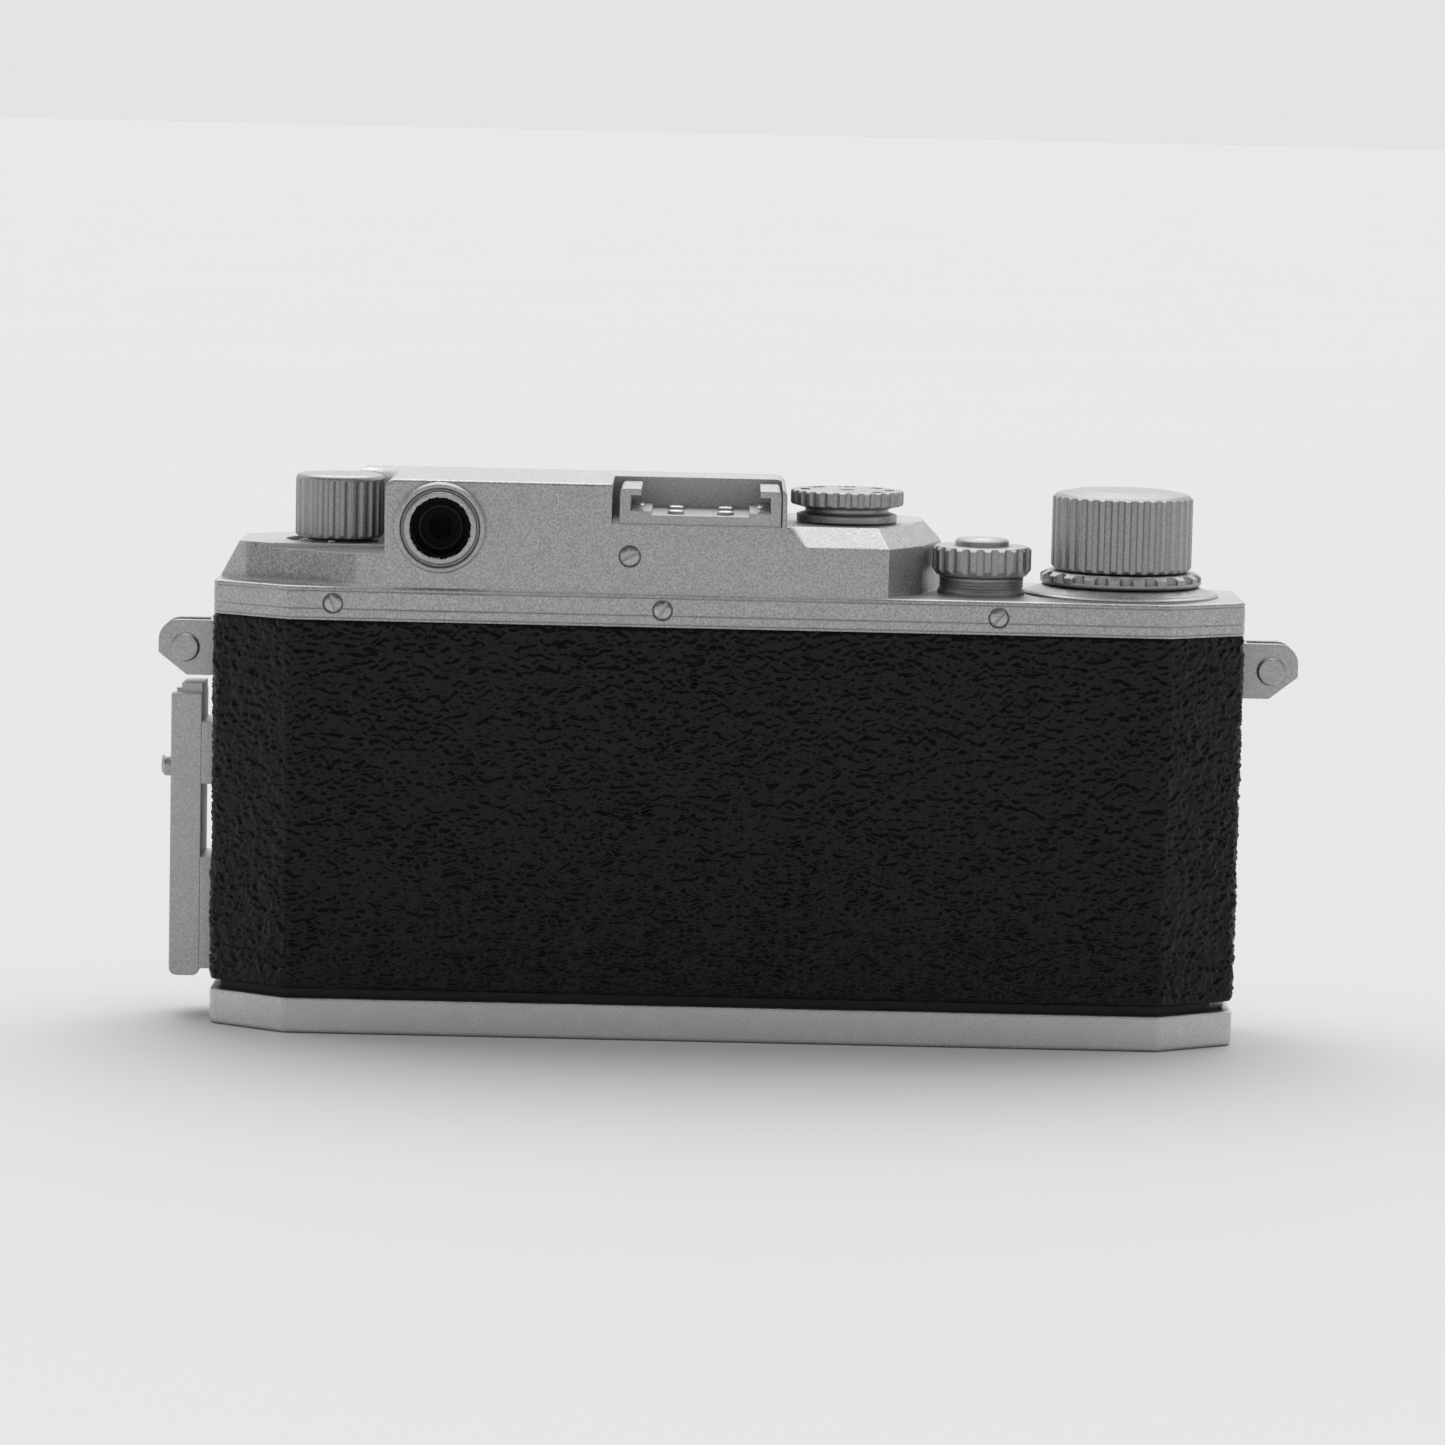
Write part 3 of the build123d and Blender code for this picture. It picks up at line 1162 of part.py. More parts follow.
# ==== Controls on the front ==============================================================
with BuildPart() as slow_speed_dial:
    turned(slow_plane, [(0, half_depth - 3), (slow_shaft_radius, half_depth - 3),
                        (slow_shaft_radius, half_depth + face_gap), (slow_radius, half_depth + face_gap),
                        (slow_radius, half_depth + 2.8), (slow_radius - 0.4, half_depth + 3.2),
                        (2.4, half_depth + 3.2), (2.0, half_depth + 2.9), (0, half_depth + 2.9)])
    flutes(slow_plane, slow_radius + 0.25, 30, 0.5, half_depth, half_depth + 3.3)
finish(slow_speed_dial.part, "slow_speed_dial")

with BuildPart() as rewind_lever:
    turned(lever_plane, [(0, half_depth - 3), (lever_shaft_radius, half_depth - 3),
                         (lever_shaft_radius, half_depth + face_gap), (3.4, half_depth + face_gap),
                         (3.4, half_depth + 1.8), (2.9, half_depth + 2.3), (0, half_depth + 2.3)])
    arm_plane = Plane(origin=(lever_x, -(half_depth + 0.5), lever_z), x_dir=(0.25, 0, -1), z_dir=(0, -1, 0))
    with BuildSketch(arm_plane) as lever_arm:
        with BuildLine():
            Polyline((2.0, -1.9), (10.5, -1.3), (10.5, 1.3), (2.0, 1.9), close=True)
        make_face()
        with Locations((10.5, 0)):
            Circle(1.9)
    extrude(amount=1.3)
finish(rewind_lever.part, "rewind_lever")

# ==== Strap lugs and flash rail ==========================================================
lug_root = half_width - covering_thickness
lug_tip = half_width + lug_reach

with BuildPart() as strap_lugs:
    for side in (-1, 1):
        with BuildSketch(Plane.XZ.offset(-lug_gap / 2 - lug_ear)) as lug_outline:
            with BuildLine():
                Polyline((side * lug_root, lug_bottom), (side * (lug_tip - 3.8), lug_bottom),
                         (side * lug_tip, lug_bottom + 3.0), (side * lug_tip, lug_top), (side * lug_root,
                                                                                         lug_top),
                         close=True)
            make_face()
            fillet(lug_outline.vertices().group_by(Axis.Y)[-1].filter_by(
                lambda corner: abs(corner.X) > lug_tip - 0.1), 2.7)
        extrude(amount=lug_gap + 2 * lug_ear)
        block((min(side * (half_width + 1.1), side * (lug_tip + 1)), max(side * (half_width + 1.1),
                                                                         side * (lug_tip + 1))),
              (-lug_gap / 2, lug_gap / 2), (lug_bottom - 1, lug_top + 1), Mode.SUBTRACT)
        ring(forward(side * (half_width + lug_pin_reach), lug_pin_z), lug_pin_radius, 0,
             -lug_gap - lug_ear, lug_gap + lug_ear, Mode.SUBTRACT)
finish(strap_lugs.part, "strap_lugs")

lug_half = lug_gap / 2 + lug_ear

with BuildPart() as lug_pins:
    for side in (-1, 1):
        turned(forward(side * (half_width + lug_pin_reach), lug_pin_z),
               [(0, -lug_half - 0.45), (lug_head_radius - 0.3, -lug_half - 0.45), (lug_head_radius,
                                                                                   -lug_half - 0.2),
                (lug_head_radius, -lug_half), (lug_pin_radius, -lug_half), (lug_pin_radius, lug_half),
                (lug_head_radius, lug_half), (lug_head_radius, lug_half + 0.2), (lug_head_radius - 0.3,
                                                                                 lug_half + 0.45),
                (0, lug_half + 0.45)])
finish(lug_pins.part, "lug_pins")

rail_outer = rail_x + rail_depth

with BuildPart() as flash_rail:
    block((rail_x, rail_outer), (-rail_width / 2, rail_width / 2), (rail_bottom, rail_top))
    fillet(flash_rail.edges().filter_by(Axis.Y).group_by(Axis.Z)[0], 1.0)
    block((rail_x + 1.0, rail_outer - 1.0), (-rail_slot / 2 - 0.9, rail_slot / 2 + 0.9), (rail_bottom + 2.0,
                                                                                          rail_top + 1),
          Mode.SUBTRACT)
    block((rail_x + 1.0, rail_outer + 1.0), (-rail_slot / 2, rail_slot / 2), (rail_bottom + 2.0,
                                                                              rail_top + 1),
          Mode.SUBTRACT)
    block((rail_x, rail_x + 2.8), (-rail_width / 2 + 1, rail_width / 2 - 1), (rail_top - 3.0,
                                                                              rail_top + 1.3))
    with Locations(Plane.YZ.offset(rail_x)):
        with Locations((0, rail_screw_z)):
            Cylinder(1.2, 8, mode=Mode.SUBTRACT)
finish(flash_rail.part, "flash_rail")

with BuildPart() as rail_mounts:
    block((lug_root, rail_x), (-rail_width / 2, rail_width / 2), (rail_bottom + 1, rail_block_top))
    block((lug_root, rail_x), (-rail_width / 2, rail_width / 2), (rail_post_bottom, rail_post_top))
    with Locations(Plane.YZ.offset(rail_x)):
        with Locations((0, rail_screw_z)):
            Cylinder(1.2, 8, mode=Mode.SUBTRACT)
finish(rail_mounts.part, "rail_mounts")

with BuildPart() as rail_screw:
    screw_axis = Plane(origin=(0, 0, rail_screw_z), x_dir=(0, 0, 1), z_dir=(0, -1, 0))
    turned(screw_axis, [(0, -lug_root), (1.2, -lug_root), (1.2, -rail_outer), (rail_screw_radius,
                                                                               -rail_outer),
                        (rail_screw_radius, -rail_outer - 1.2), (rail_screw_radius - 0.4,
                                                                 -rail_outer - 1.6),
                        (0, -rail_outer - 1.6)])
finish(rail_screw.part, "rail_screw")
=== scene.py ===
import json
import math

import bmesh
import bpy
import numpy as np
from mathutils import Matrix, Vector


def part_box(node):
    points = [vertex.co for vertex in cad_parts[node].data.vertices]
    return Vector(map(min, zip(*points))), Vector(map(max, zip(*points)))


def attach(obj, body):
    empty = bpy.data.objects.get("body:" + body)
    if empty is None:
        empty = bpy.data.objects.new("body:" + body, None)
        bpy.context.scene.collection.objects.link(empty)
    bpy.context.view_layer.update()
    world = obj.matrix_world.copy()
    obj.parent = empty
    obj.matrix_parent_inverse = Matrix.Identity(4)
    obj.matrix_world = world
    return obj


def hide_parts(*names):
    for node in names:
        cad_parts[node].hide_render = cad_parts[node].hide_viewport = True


# Looks of a 35 mm rangefinder camera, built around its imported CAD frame. Metres, +Z up.
# The lens looks along -Y; the eyepiece side, which the main view shows, faces +Y.

MM = 0.001
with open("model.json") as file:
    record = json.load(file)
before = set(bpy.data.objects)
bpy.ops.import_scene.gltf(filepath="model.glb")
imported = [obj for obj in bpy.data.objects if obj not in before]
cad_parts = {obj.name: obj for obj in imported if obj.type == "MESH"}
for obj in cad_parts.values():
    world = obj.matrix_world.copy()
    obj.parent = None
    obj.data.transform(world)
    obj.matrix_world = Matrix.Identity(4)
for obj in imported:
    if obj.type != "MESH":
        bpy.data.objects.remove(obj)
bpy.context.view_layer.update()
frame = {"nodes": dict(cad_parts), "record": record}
nodes = frame["nodes"]

# ---- Tones, as linear reflectances ----
TOP_TONE = (0.47, 0.47, 0.475)
BASE_TONE = (0.62, 0.62, 0.63)
KNOB_TONE = (0.41, 0.41, 0.415)
TRIM_TONE = (0.47, 0.47, 0.475)
LENS_TONE = (0.50, 0.505, 0.515)
SCREW_TONE = (0.48, 0.48, 0.485)
STEEL_TONE = (0.40, 0.40, 0.41)
# Near black: painted shade in the gap between the leather and the base plate, where the shell shows.
SHELL_GAP_SHADE_TONE = (0.035, 0.035, 0.036)
NICKEL_TONE = (0.52, 0.50, 0.46)
BRASS_TONE = (0.55, 0.40, 0.19)
LEATHER_TONE = (0.002, 0.002, 0.0022)
BLACK_TONE = (0.012, 0.012, 0.013)
# Black paint in the bores, and the painted shade of the eyepiece's dark disc and the finder's dark plate.
BLACK_PAINT_AND_SHADE_TONE = (0.005, 0.0045, 0.004)
LIP_TONE = (0.035, 0.028, 0.024)
CURTAIN_TONE = (0.012, 0.012, 0.014)
GLASS_TONE = (0.93, 0.95, 0.96)
COATED_TONE = (0.50, 0.53, 0.62)
# Dark tint of the finder's glass: painted shade for the dark view into the finder.
FINDER_SHADE_TONE = (0.10, 0.11, 0.12)
INK_TONE = (0.01, 0.01, 0.011)
FLOOR_TONE = (0.70, 0.70, 0.70)
SKY_TONE = (0.99, 0.995, 1.0)

# ---- Surface finish ----
NOISE_CORE = (0.36, 0.64)      # the middle of a noise's values, which is stretched to full contrast
EDGE_RADIUS = 0.25 * MM        # how round a metal edge looks, and how wide the band of worn and painted highlight along it is
METAL_SPECKLE = 0.26 * MM
MOTTLE_SIZE = 2.4 * MM
PIT_SIZE = 0.32 * MM

# ---- Leather ----
FACET = (10.5 * MM, 6.5 * MM)       # length and depth of the body's oblique corners
BEND = 1.5 * MM
SKIN_STEP = 0.2 * MM
SKIN_THICKNESS = 0.55 * MM
LEATHER_RELIEF = 0.55 * MM
FOLD_CELL = (1.25 * MM, 1.25 * MM, 0.80 * MM)
CREASE_CELL = (0.80 * MM, 0.80 * MM, 0.55 * MM)
PEBBLE_CELL = (1.3 * MM, 1.3 * MM, 0.8 * MM)
SWIRL_SIZE = 1.1 * MM
PATCH_SIZE = 5.0 * MM
EDGE_FADE = 0.8 * MM                # the relief dies out over this height at the top and bottom edges
EDGE_SINK = 0.22 * MM
MOUNT_OVERLAP = 0.6 * MM
HOOK_NOTCH = (4.3 * MM, 9.1 * MM)   # half width and top of the opening for the base plate's hook
TABLE_SIZE = 1024                   # entries in the table of random numbers
FOLD_SEED, CREASE_SEED, PATCH_SEED, PEBBLE_SEED, SWIRL_SEED = 5, 6, 7, 8, 11

# ---- Small pieces ----
PAINTED_REACH = {"eyepiece_retainer": 4.05 * MM, "lens_head": 14.6 * MM, "lens_barrel": 16.6 * MM}
SLOT_TURNS = (0.7, 0.9, 2.2, 1.1, 0.5, 2.6, 1.9)
SLOT_WIDTH = 0.36 * MM
SLOT_DEPTH = 0.5 * MM
LENS_BULGE = 0.24                   # share of a lens's thickness that each face bulges
STROKE_WIDTH = 0.22 * MM
FIGURE_PROUD = 0.03 * MM

# ---- Floor, lights and camera ----
FLOOR_REACH = 30.0
HORIZON_GLOW = 0.78
BACK_GLOW = 1.0
VIEWER_GLOW = 0.15
GLOW_TURNOVER = 0.6                 # how far either side of the camera's plane the sky changes
HORIZON_BAND = (0.09, 0.24)
SUN_TOWARD = (0.0, -0.34, 1.0)
SUN_SPREAD = 70.0
SUN_STRENGTH = 1.86
CAMERA_PLACE = Vector((2.07 * MM, 715 * MM, 123.65 * MM))
CAMERA_YAW = 0.00207
CAMERA_PITCH = 0.11454
CAMERA_ROLL = 0.02284
CAMERA_LENS = 132.14


# ==== Node material helpers ==============================================================
class Shade:
    """A node material under construction."""

    def __init__(self, name):
        self.material = bpy.data.materials.new(name)
        self.material.use_nodes = True
        self.tree = self.material.node_tree
        self.tree.nodes.clear()
        self.output = self.tree.nodes.new("ShaderNodeOutputMaterial")
        self.coords = self.tree.nodes.new("ShaderNodeTexCoord").outputs["Object"]

    def put(self, kind, **values):
        """A new node, with attributes and unlinked values set by name."""
        node = self.tree.nodes.new("ShaderNode" + kind)
        for key, value in values.items():
            setattr(node, key, value)
        return node

    def feed(self, node, **sources):
        """Sets or links inputs; underscores in a name stand for spaces."""
        for key, source in sources.items():
            socket = node.inputs[key.replace("_", " ")]
            if isinstance(source, bpy.types.NodeSocket):
                self.tree.links.new(source, socket)
            else:
                socket.default_value = source
        return node

    def noise(self, size, detail=2.0, stretch=None, roughness=0.5):
        """Fractal noise whose features are about size metres across."""
        node = self.put("TexNoise")
        self.feed(node, Scale=1.0 / size, Detail=detail, Roughness=roughness)
        source = self.coords
        if stretch is not None:
            source = self.feed(self.put("Mapping"), Vector=source, Scale=stretch).outputs[0]
        self.tree.links.new(source, node.inputs["Vector"])
        return node.outputs["Fac"]

    def span(self, value, low, high, out_low=0.0, out_high=1.0):
        """Maps low..high to out_low..out_high, clamped."""
        node = self.put("MapRange")
        self.tree.links.new(value, node.inputs["Value"])
        for name, number in zip(("From Min", "From Max", "To Min", "To Max"), (low, high, out_low, out_high)):
            node.inputs[name].default_value = number
        return node.outputs["Result"]

    def math(self, operation, first, second=0.0):
        node = self.put("Math", operation=operation)
        for socket, source in zip(node.inputs, (first, second)):
            if isinstance(source, bpy.types.NodeSocket):
                self.tree.links.new(source, socket)
            else:
                socket.default_value = source
        return node.outputs[0]

    def mix(self, factor, first, second):
        """Mixes two colours."""
        node = self.put("Mix", data_type="RGBA")
        for socket, source in zip((node.inputs[0], node.inputs[6], node.inputs[7]), (factor, first, second)):
            if isinstance(source, bpy.types.NodeSocket):
                self.tree.links.new(source, socket)
            elif isinstance(source, tuple):
                socket.default_value = (*source[:3], 1.0)
            else:
                socket.default_value = source
        return node.outputs[2]

    def edges(self, radius):
        """How strongly a point belongs to a worn edge, and the rounded normal there."""
        bevel = self.feed(self.put("Bevel", samples=4), Radius=radius)
        geometry = self.put("NewGeometry")
        dot = self.put("VectorMath", operation="DOT_PRODUCT")
        self.tree.links.new(bevel.outputs[0], dot.inputs[0])
        self.tree.links.new(geometry.outputs["Normal"], dot.inputs[1])
        return dot.outputs["Value"], bevel.outputs[0]

    def bump(self, height, strength, distance, normal=None):
        node = self.feed(self.put("Bump"), Height=height, Strength=strength, Distance=distance)
        if normal is not None:
            self.tree.links.new(normal, node.inputs["Normal"])
        return node.outputs[0]

    def finish(self, tone, roughness, normal=None, **sockets):
        shader = self.put("BsdfPrincipled")
        for name, source in (("Base Color", tone), ("Roughness", roughness), ("Normal", normal)):
            if isinstance(source, bpy.types.NodeSocket):
                self.tree.links.new(source, shader.inputs[name])
            elif isinstance(source, tuple):
                shader.inputs[name].default_value = (*source, 1.0)
            elif source is not None:
                shader.inputs[name].default_value = source
        for key, value in sockets.items():
            shader.inputs[key.replace("_", " ")].default_value = value
        self.tree.links.new(shader.outputs[0], self.output.inputs["Surface"])
        return self.material


def scaled(tone, factor):
    return tuple(channel * factor for channel in tone)


def shade_cast_wall(shade, plane, tint, tone):
    """Paints the wall on the plane darker, with darker pits: painted shade over a rough cast surface; the
    plane is given as its normal, offset and foot.
    """
    normal, offset, foot = plane
    along = shade.put("VectorMath", operation="DOT_PRODUCT")
    shade.tree.links.new(shade.coords, along.inputs[0])
    along.inputs[1].default_value = normal
    away = shade.math("ABSOLUTE", shade.math("SUBTRACT", along.outputs["Value"], offset))
    parts = shade.put("SeparateXYZ")
    shade.tree.links.new(shade.coords, parts.inputs[0])
    on_wall = shade.span(away, 0.05 * MM, 0.25 * MM, 1.0, 0.0)
    above_foot = shade.span(parts.outputs["Z"], foot, foot + 0.2 * MM)
    pits = shade.noise(PIT_SIZE, 4.0, roughness=0.7)
    # Painted shade: the wall's tone and its pits are darkened.
    pits_with_shade = shade.mix(shade.span(pits, *NOISE_CORE), scaled(tone, 0.42), scaled(tone, 0.95))
    return shade.mix(shade.math("MULTIPLY", on_wall, above_foot), tint, pits_with_shade)


def silver(name, tone, roughness=0.42, speckle=0.30, grain=METAL_SPECKLE, relief=0.05, wear_and_highlight=0.55,
           shaded_wall_plane=None):
    """Satin metal with a fine speckle, soft mottling and brighter edges, partly worn and partly a painted
    highlight; relief is in millimetres.
    """
    shade = Shade(name)
    fine = shade.noise(grain, 2.0)
    coarse = shade.noise(MOTTLE_SIZE, 3.0)
    tint = shade.mix(shade.span(fine, *NOISE_CORE), scaled(tone, 1 - speckle), scaled(tone, 1 + speckle))
    tint = shade.mix(shade.span(coarse, 0.35, 0.7, 0.0, 0.22), tint, scaled(tone, 0.75))
    # The top cover's oblique wall is painted darker, as painted shade.
    if shaded_wall_plane:
        tint = shade_cast_wall(shade, shaded_wall_plane, tint, tone)
    # Edges are painted lighter: partly worn metal, partly a painted highlight where the edges catch the light.
    facing, rounded = shade.edges(EDGE_RADIUS)
    edge_wear_and_highlight = shade.span(facing, 0.88, 0.985, wear_and_highlight, 0.0)
    rubbed_and_highlight = shade.math("MULTIPLY", edge_wear_and_highlight, shade.span(coarse, 0.4, 0.6, 0.5, 1.0))
    tint = shade.mix(rubbed_and_highlight, tint, scaled(tone, 1.7))
    rough = shade.span(fine, 0.35, 0.65, roughness - 0.08, roughness + 0.10)
    normal = shade.bump(fine, 0.5, relief * MM, rounded)
    return shade.finish(tint, rough, normal, Metallic=1.0)


def dull(name, tone, roughness, size, depth, contrast=0.25, **sockets):
    """A non-metal with mottled colour and a fine bump, from the grain's size and depth."""
    shade = Shade(name)
    grain = shade.noise(size, 3.0)
    tint = shade.mix(shade.span(grain, 0.35, 0.65), scaled(tone, 1 - contrast), scaled(tone, 1 + contrast))
    rough = shade.span(grain, 0.3, 0.7, roughness - 0.06, roughness + 0.06)
    return shade.finish(tint, rough, shade.bump(grain, 0.5, depth), **sockets)


def platform_wall():
    """Normal, offset and foot of the top cover's oblique wall beside the rewind knob, which is painted darker
    as shade.
    """
    band_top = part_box("counter_seat")[0].z
    wall_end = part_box("rewind_knob")[1].x - 12 * MM

    def on_wall(face):
        upright = face.normal.x > 0.3 and face.normal.y > 0.7 and abs(face.normal.z) < 0.05
        return upright and face.center.z > band_top + 0.5 * MM and face.center.x > wall_end

    wall = max(filter(on_wall, nodes["top_cover"].data.polygons), key=lambda face: face.area)
    return tuple(wall.normal), wall.normal.dot(wall.center), band_top + 0.3 * MM


materials = {
    "top_silver": silver("satin_top", TOP_TONE, shaded_wall_plane=platform_wall()),
    "base_silver": silver("satin_base", BASE_TONE, speckle=0.18, grain=0.2 * MM, relief=0.03),
    "knob_silver": silver("satin_knob", KNOB_TONE, speckle=0.22),
    "trim_silver": silver("satin_trim", TRIM_TONE, speckle=0.24),
    "lens_silver": silver("satin_lens", LENS_TONE, roughness=0.30, speckle=0.06, relief=0.01, wear_and_highlight=0.3),
    "screw_steel": silver("screw_steel", SCREW_TONE, roughness=0.34, speckle=0.2),
    "inner_steel": silver("inner_steel", STEEL_TONE, roughness=0.35, speckle=0.06, relief=0.01),
    # The shell is tinted near black: painted shade in the gap between the leather and the base plate.
    "shell_alloy": silver("shell_alloy", SHELL_GAP_SHADE_TONE, roughness=0.5, speckle=0.1),
    "brass_parts": silver("nickel_brass", NICKEL_TONE, roughness=0.32, speckle=0.06, relief=0.01),
    "gear_brass": silver("gear_brass", BRASS_TONE, roughness=0.35, speckle=0.06, relief=0.01),
    "black_paint": dull("black_paint", BLACK_TONE, 0.45, 0.6 * MM, 0.02 * MM),
    "curtain_cloth": dull("curtain_cloth", CURTAIN_TONE, 0.85, 0.3 * MM, 0.03 * MM),
    "black_covering": dull("covering_grain", LEATHER_TONE, 0.26, 0.22 * MM, 0.06 * MM,
                           Specular_IOR_Level=0.25),
}
# Black for the eyepiece liner and the finder's plate: partly real black paint, partly painted shade.
black_liner_and_shade = dull("black_liner_and_shade", BLACK_PAINT_AND_SHADE_TONE, 0.6, 0.5 * MM, 0.02 * MM, Specular_IOR_Level=0.08)
lip_bronze = dull("lip_bronze", LIP_TONE, 0.5, 0.4 * MM, 0.02 * MM, Specular_IOR_Level=0.3)
ink_black = dull("ink_black", INK_TONE, 0.5, 0.4 * MM, 0.01 * MM)


def glass(name, tone=GLASS_TONE, index=1.5):
    shade = Shade(name)
    film = shade.noise(3.0 * MM, 2.0)
    tint = shade.mix(film, tone, scaled(tone, 0.9))
    return shade.finish(tint, 0.02, None, Transmission_Weight=1.0, IOR=index)


materials["optical_glass"] = glass("optical_glass")

for entry in frame["record"]["subparts"]:
    mesh = nodes[entry["node"]].data
    mesh.materials.clear()
    mesh.materials.append(materials[entry["material_slot"]])

# The finder's glass is tinted dark: painted shade for the dark view into the finder.
finder_glass = glass("finder_glass", FINDER_SHADE_TONE, index=1.12)
for name in ("finder_glasses", "beam_splitter", "rangefinder_prism"):
    nodes[name].data.materials[0] = finder_glass


# ==== Leather covering ===================================================================
def hashed(cells, seed):
    """Pseudo-random numbers in 0..1, three for each integer cell, from a shuffled table."""
    source = np.random.default_rng(seed)
    order = source.permutation(TABLE_SIZE)
    values = source.random((TABLE_SIZE, 3))
    place = order[cells[..., 0] % TABLE_SIZE]
    place = order[(place + cells[..., 1]) % TABLE_SIZE]
    place = order[(place + cells[..., 2]) % TABLE_SIZE]
    return values[place]


def cells_noise(points, seed):
    """Distances to the nearest and second nearest random feature points."""
    base = np.floor(points).astype(np.int64)
    nearest = np.full(len(points), 9.0)
    second = np.full(len(points), 9.0)
    for offset in np.ndindex(3, 3, 3):
        cell = base + np.array(offset) - 1
        distance = np.linalg.norm(cell + hashed(cell, seed) - points, axis=1)
        second = np.minimum(second, np.maximum(distance, nearest))
        nearest = np.minimum(nearest, distance)
    return nearest, second


def value_noise(points, seed):
    """Smooth noise in 0..1."""
    base = np.floor(points).astype(np.int64)
    part = points - base
    part = part * part * (3 - 2 * part)
    total = np.zeros(len(points))
    for corner in np.ndindex(2, 2, 2):
        weight = np.prod(np.where(np.array(corner), part, 1 - part), axis=1)
        total += weight * hashed(base + np.array(corner), seed)[:, 0]
    return total


def plan_line(step):
    """Points and outward normals round the body's plan, evenly spaced."""
    corner_x, corner_y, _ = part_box("covering")[1]
    quarter = [(corner_x, corner_y - FACET[1]), (corner_x - FACET[0], corner_y)]
    left = [(-x, y) for x, y in reversed(quarter)]
    corners = np.array(quarter + left + [(-x, -y) for x, y in quarter + left])
    fine = []
    for index, corner in enumerate(corners):
        before = corners[index - 1] - corner
        after = corners[(index + 1) % len(corners)] - corner
        before /= np.linalg.norm(before)
        after /= np.linalg.norm(after)
        half_angle = math.acos(np.clip(before @ after, -1, 1)) / 2
        reach = BEND / math.tan(half_angle)
        middle = corner + (before + after) / np.linalg.norm(before + after) * BEND / math.sin(half_angle)
        start = corner + before * reach - middle
        end = corner + after * reach - middle
        for share in np.linspace(0, 1, 9):
            arm = start * (1 - share) + end * share
            fine.append(middle + arm / np.linalg.norm(arm) * BEND)
    fine = np.array(fine)
    closed = np.vstack([fine, fine[:1]])
    lengths = np.r_[0, np.cumsum(np.linalg.norm(np.diff(closed, axis=0), axis=1))]
    count = int(lengths[-1] / step)
    places = np.linspace(0, lengths[-1], count, endpoint=False)
    line = np.stack([np.interp(places, lengths, closed[:, axis]) for axis in (0, 1)], 1)
    tangent = np.roll(line, -1, 0) - np.roll(line, 1, 0)
    tangent /= np.linalg.norm(tangent, axis=1)[:, None]
    return line, np.stack([tangent[:, 1], -tangent[:, 0]], 1)


def leather_height(points):
    """Relief of the crinkled grain, in metres: sharp little folds over soft swells."""
    swirl = np.stack([value_noise(points / SWIRL_SIZE + 40 * axis, SWIRL_SEED + axis)
                      for axis in range(3)], 1) - 0.5
    folds = 1 - np.abs(2 * value_noise(points / np.array(FOLD_CELL) + swirl * 2.2, FOLD_SEED) - 1)
    creases = 1 - np.abs(2 * value_noise(points / np.array(CREASE_CELL) + swirl * 1.6, CREASE_SEED) - 1)
    near, far = cells_noise(points / np.array(PEBBLE_CELL) + swirl * 1.5, PEBBLE_SEED)
    pebble = np.clip((far - near) / 0.5, 0, 1)
    patch = value_noise(points / PATCH_SIZE, PATCH_SEED)
    return ((0.7 * folds + 0.4 * creases + 0.35 * pebble) * (0.75 + 0.5 * patch) - 0.9) * LEATHER_RELIEF


def shown_leather(centres):
    """Which faces stay: all but those under the lens mount and behind the base plate's hook."""
    mount_low, mount_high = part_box("mount_ring")
    mount = (mount_low + mount_high) / 2
    radius = (mount_high.x - mount_low.x) / 2 - MOUNT_OVERLAP
    clear_of_mount = np.hypot(centres[:, 0] - mount.x, centres[:, 2] - mount.z) > radius
    clear_of_hook = (np.abs(centres[:, 1]) > HOOK_NOTCH[0]) | (centres[:, 2] > HOOK_NOTCH[1])
    return (clear_of_mount | (centres[:, 1] > 0)) & (clear_of_hook | (centres[:, 0] > 0))


def build_leather():
    """The covering as a thin skin round the body, with its grain as real relief."""
    low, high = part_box("covering")
    line, normals = plan_line(SKIN_STEP)
    rows = int((high.z - low.z) / SKIN_STEP) + 1
    levels = np.linspace(low.z, high.z, rows)
    count = len(line)
    points = np.zeros((rows, count, 3))
    points[..., :2] = line
    points[..., 2] = levels[:, None]
    flat = points.reshape(-1, 3)
    edge = np.minimum(flat[:, 2] - low.z, high.z - flat[:, 2])
    fade = np.clip(edge / EDGE_FADE, 0, 1)
    relief = leather_height(flat) * (0.35 + 0.65 * fade) - EDGE_SINK * (1 - fade) ** 2
    outward = np.zeros((rows, count, 3))
    outward[..., :2] = normals
    moved = flat + outward.reshape(-1, 3) * relief[:, None]
    index = np.arange(rows * count).reshape(rows, count)
    ahead = np.roll(index, -1, 1)
    quads = np.stack([index[:-1], ahead[:-1], ahead[1:], index[1:]], -1).reshape(-1, 4)
    kept_quads = quads[shown_leather(flat[quads].mean(1))]
    mesh = bpy.data.meshes.new("leather_covering")
    mesh.from_pydata(moved.tolist(), [], kept_quads.tolist())
    mesh.update()
    bm = bmesh.new()
    bm.from_mesh(mesh)
    bmesh.ops.delete(bm, geom=[v for v in bm.verts if not v.link_faces], context="VERTS")
    bmesh.ops.recalc_face_normals(bm, faces=bm.faces)
    bm.to_mesh(mesh)
    bm.free()
    mesh.polygons.foreach_set("use_smooth", [True] * len(mesh.polygons))
    skin = bpy.data.objects.new("leather_covering", mesh)
    bpy.context.scene.collection.objects.link(skin)
    solid = skin.modifiers.new("thickness", "SOLIDIFY")
    solid.thickness = SKIN_THICKNESS
    solid.offset = -1
    mesh.materials.append(materials["black_covering"])
    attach(skin, "camera")
    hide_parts("covering")


build_leather()


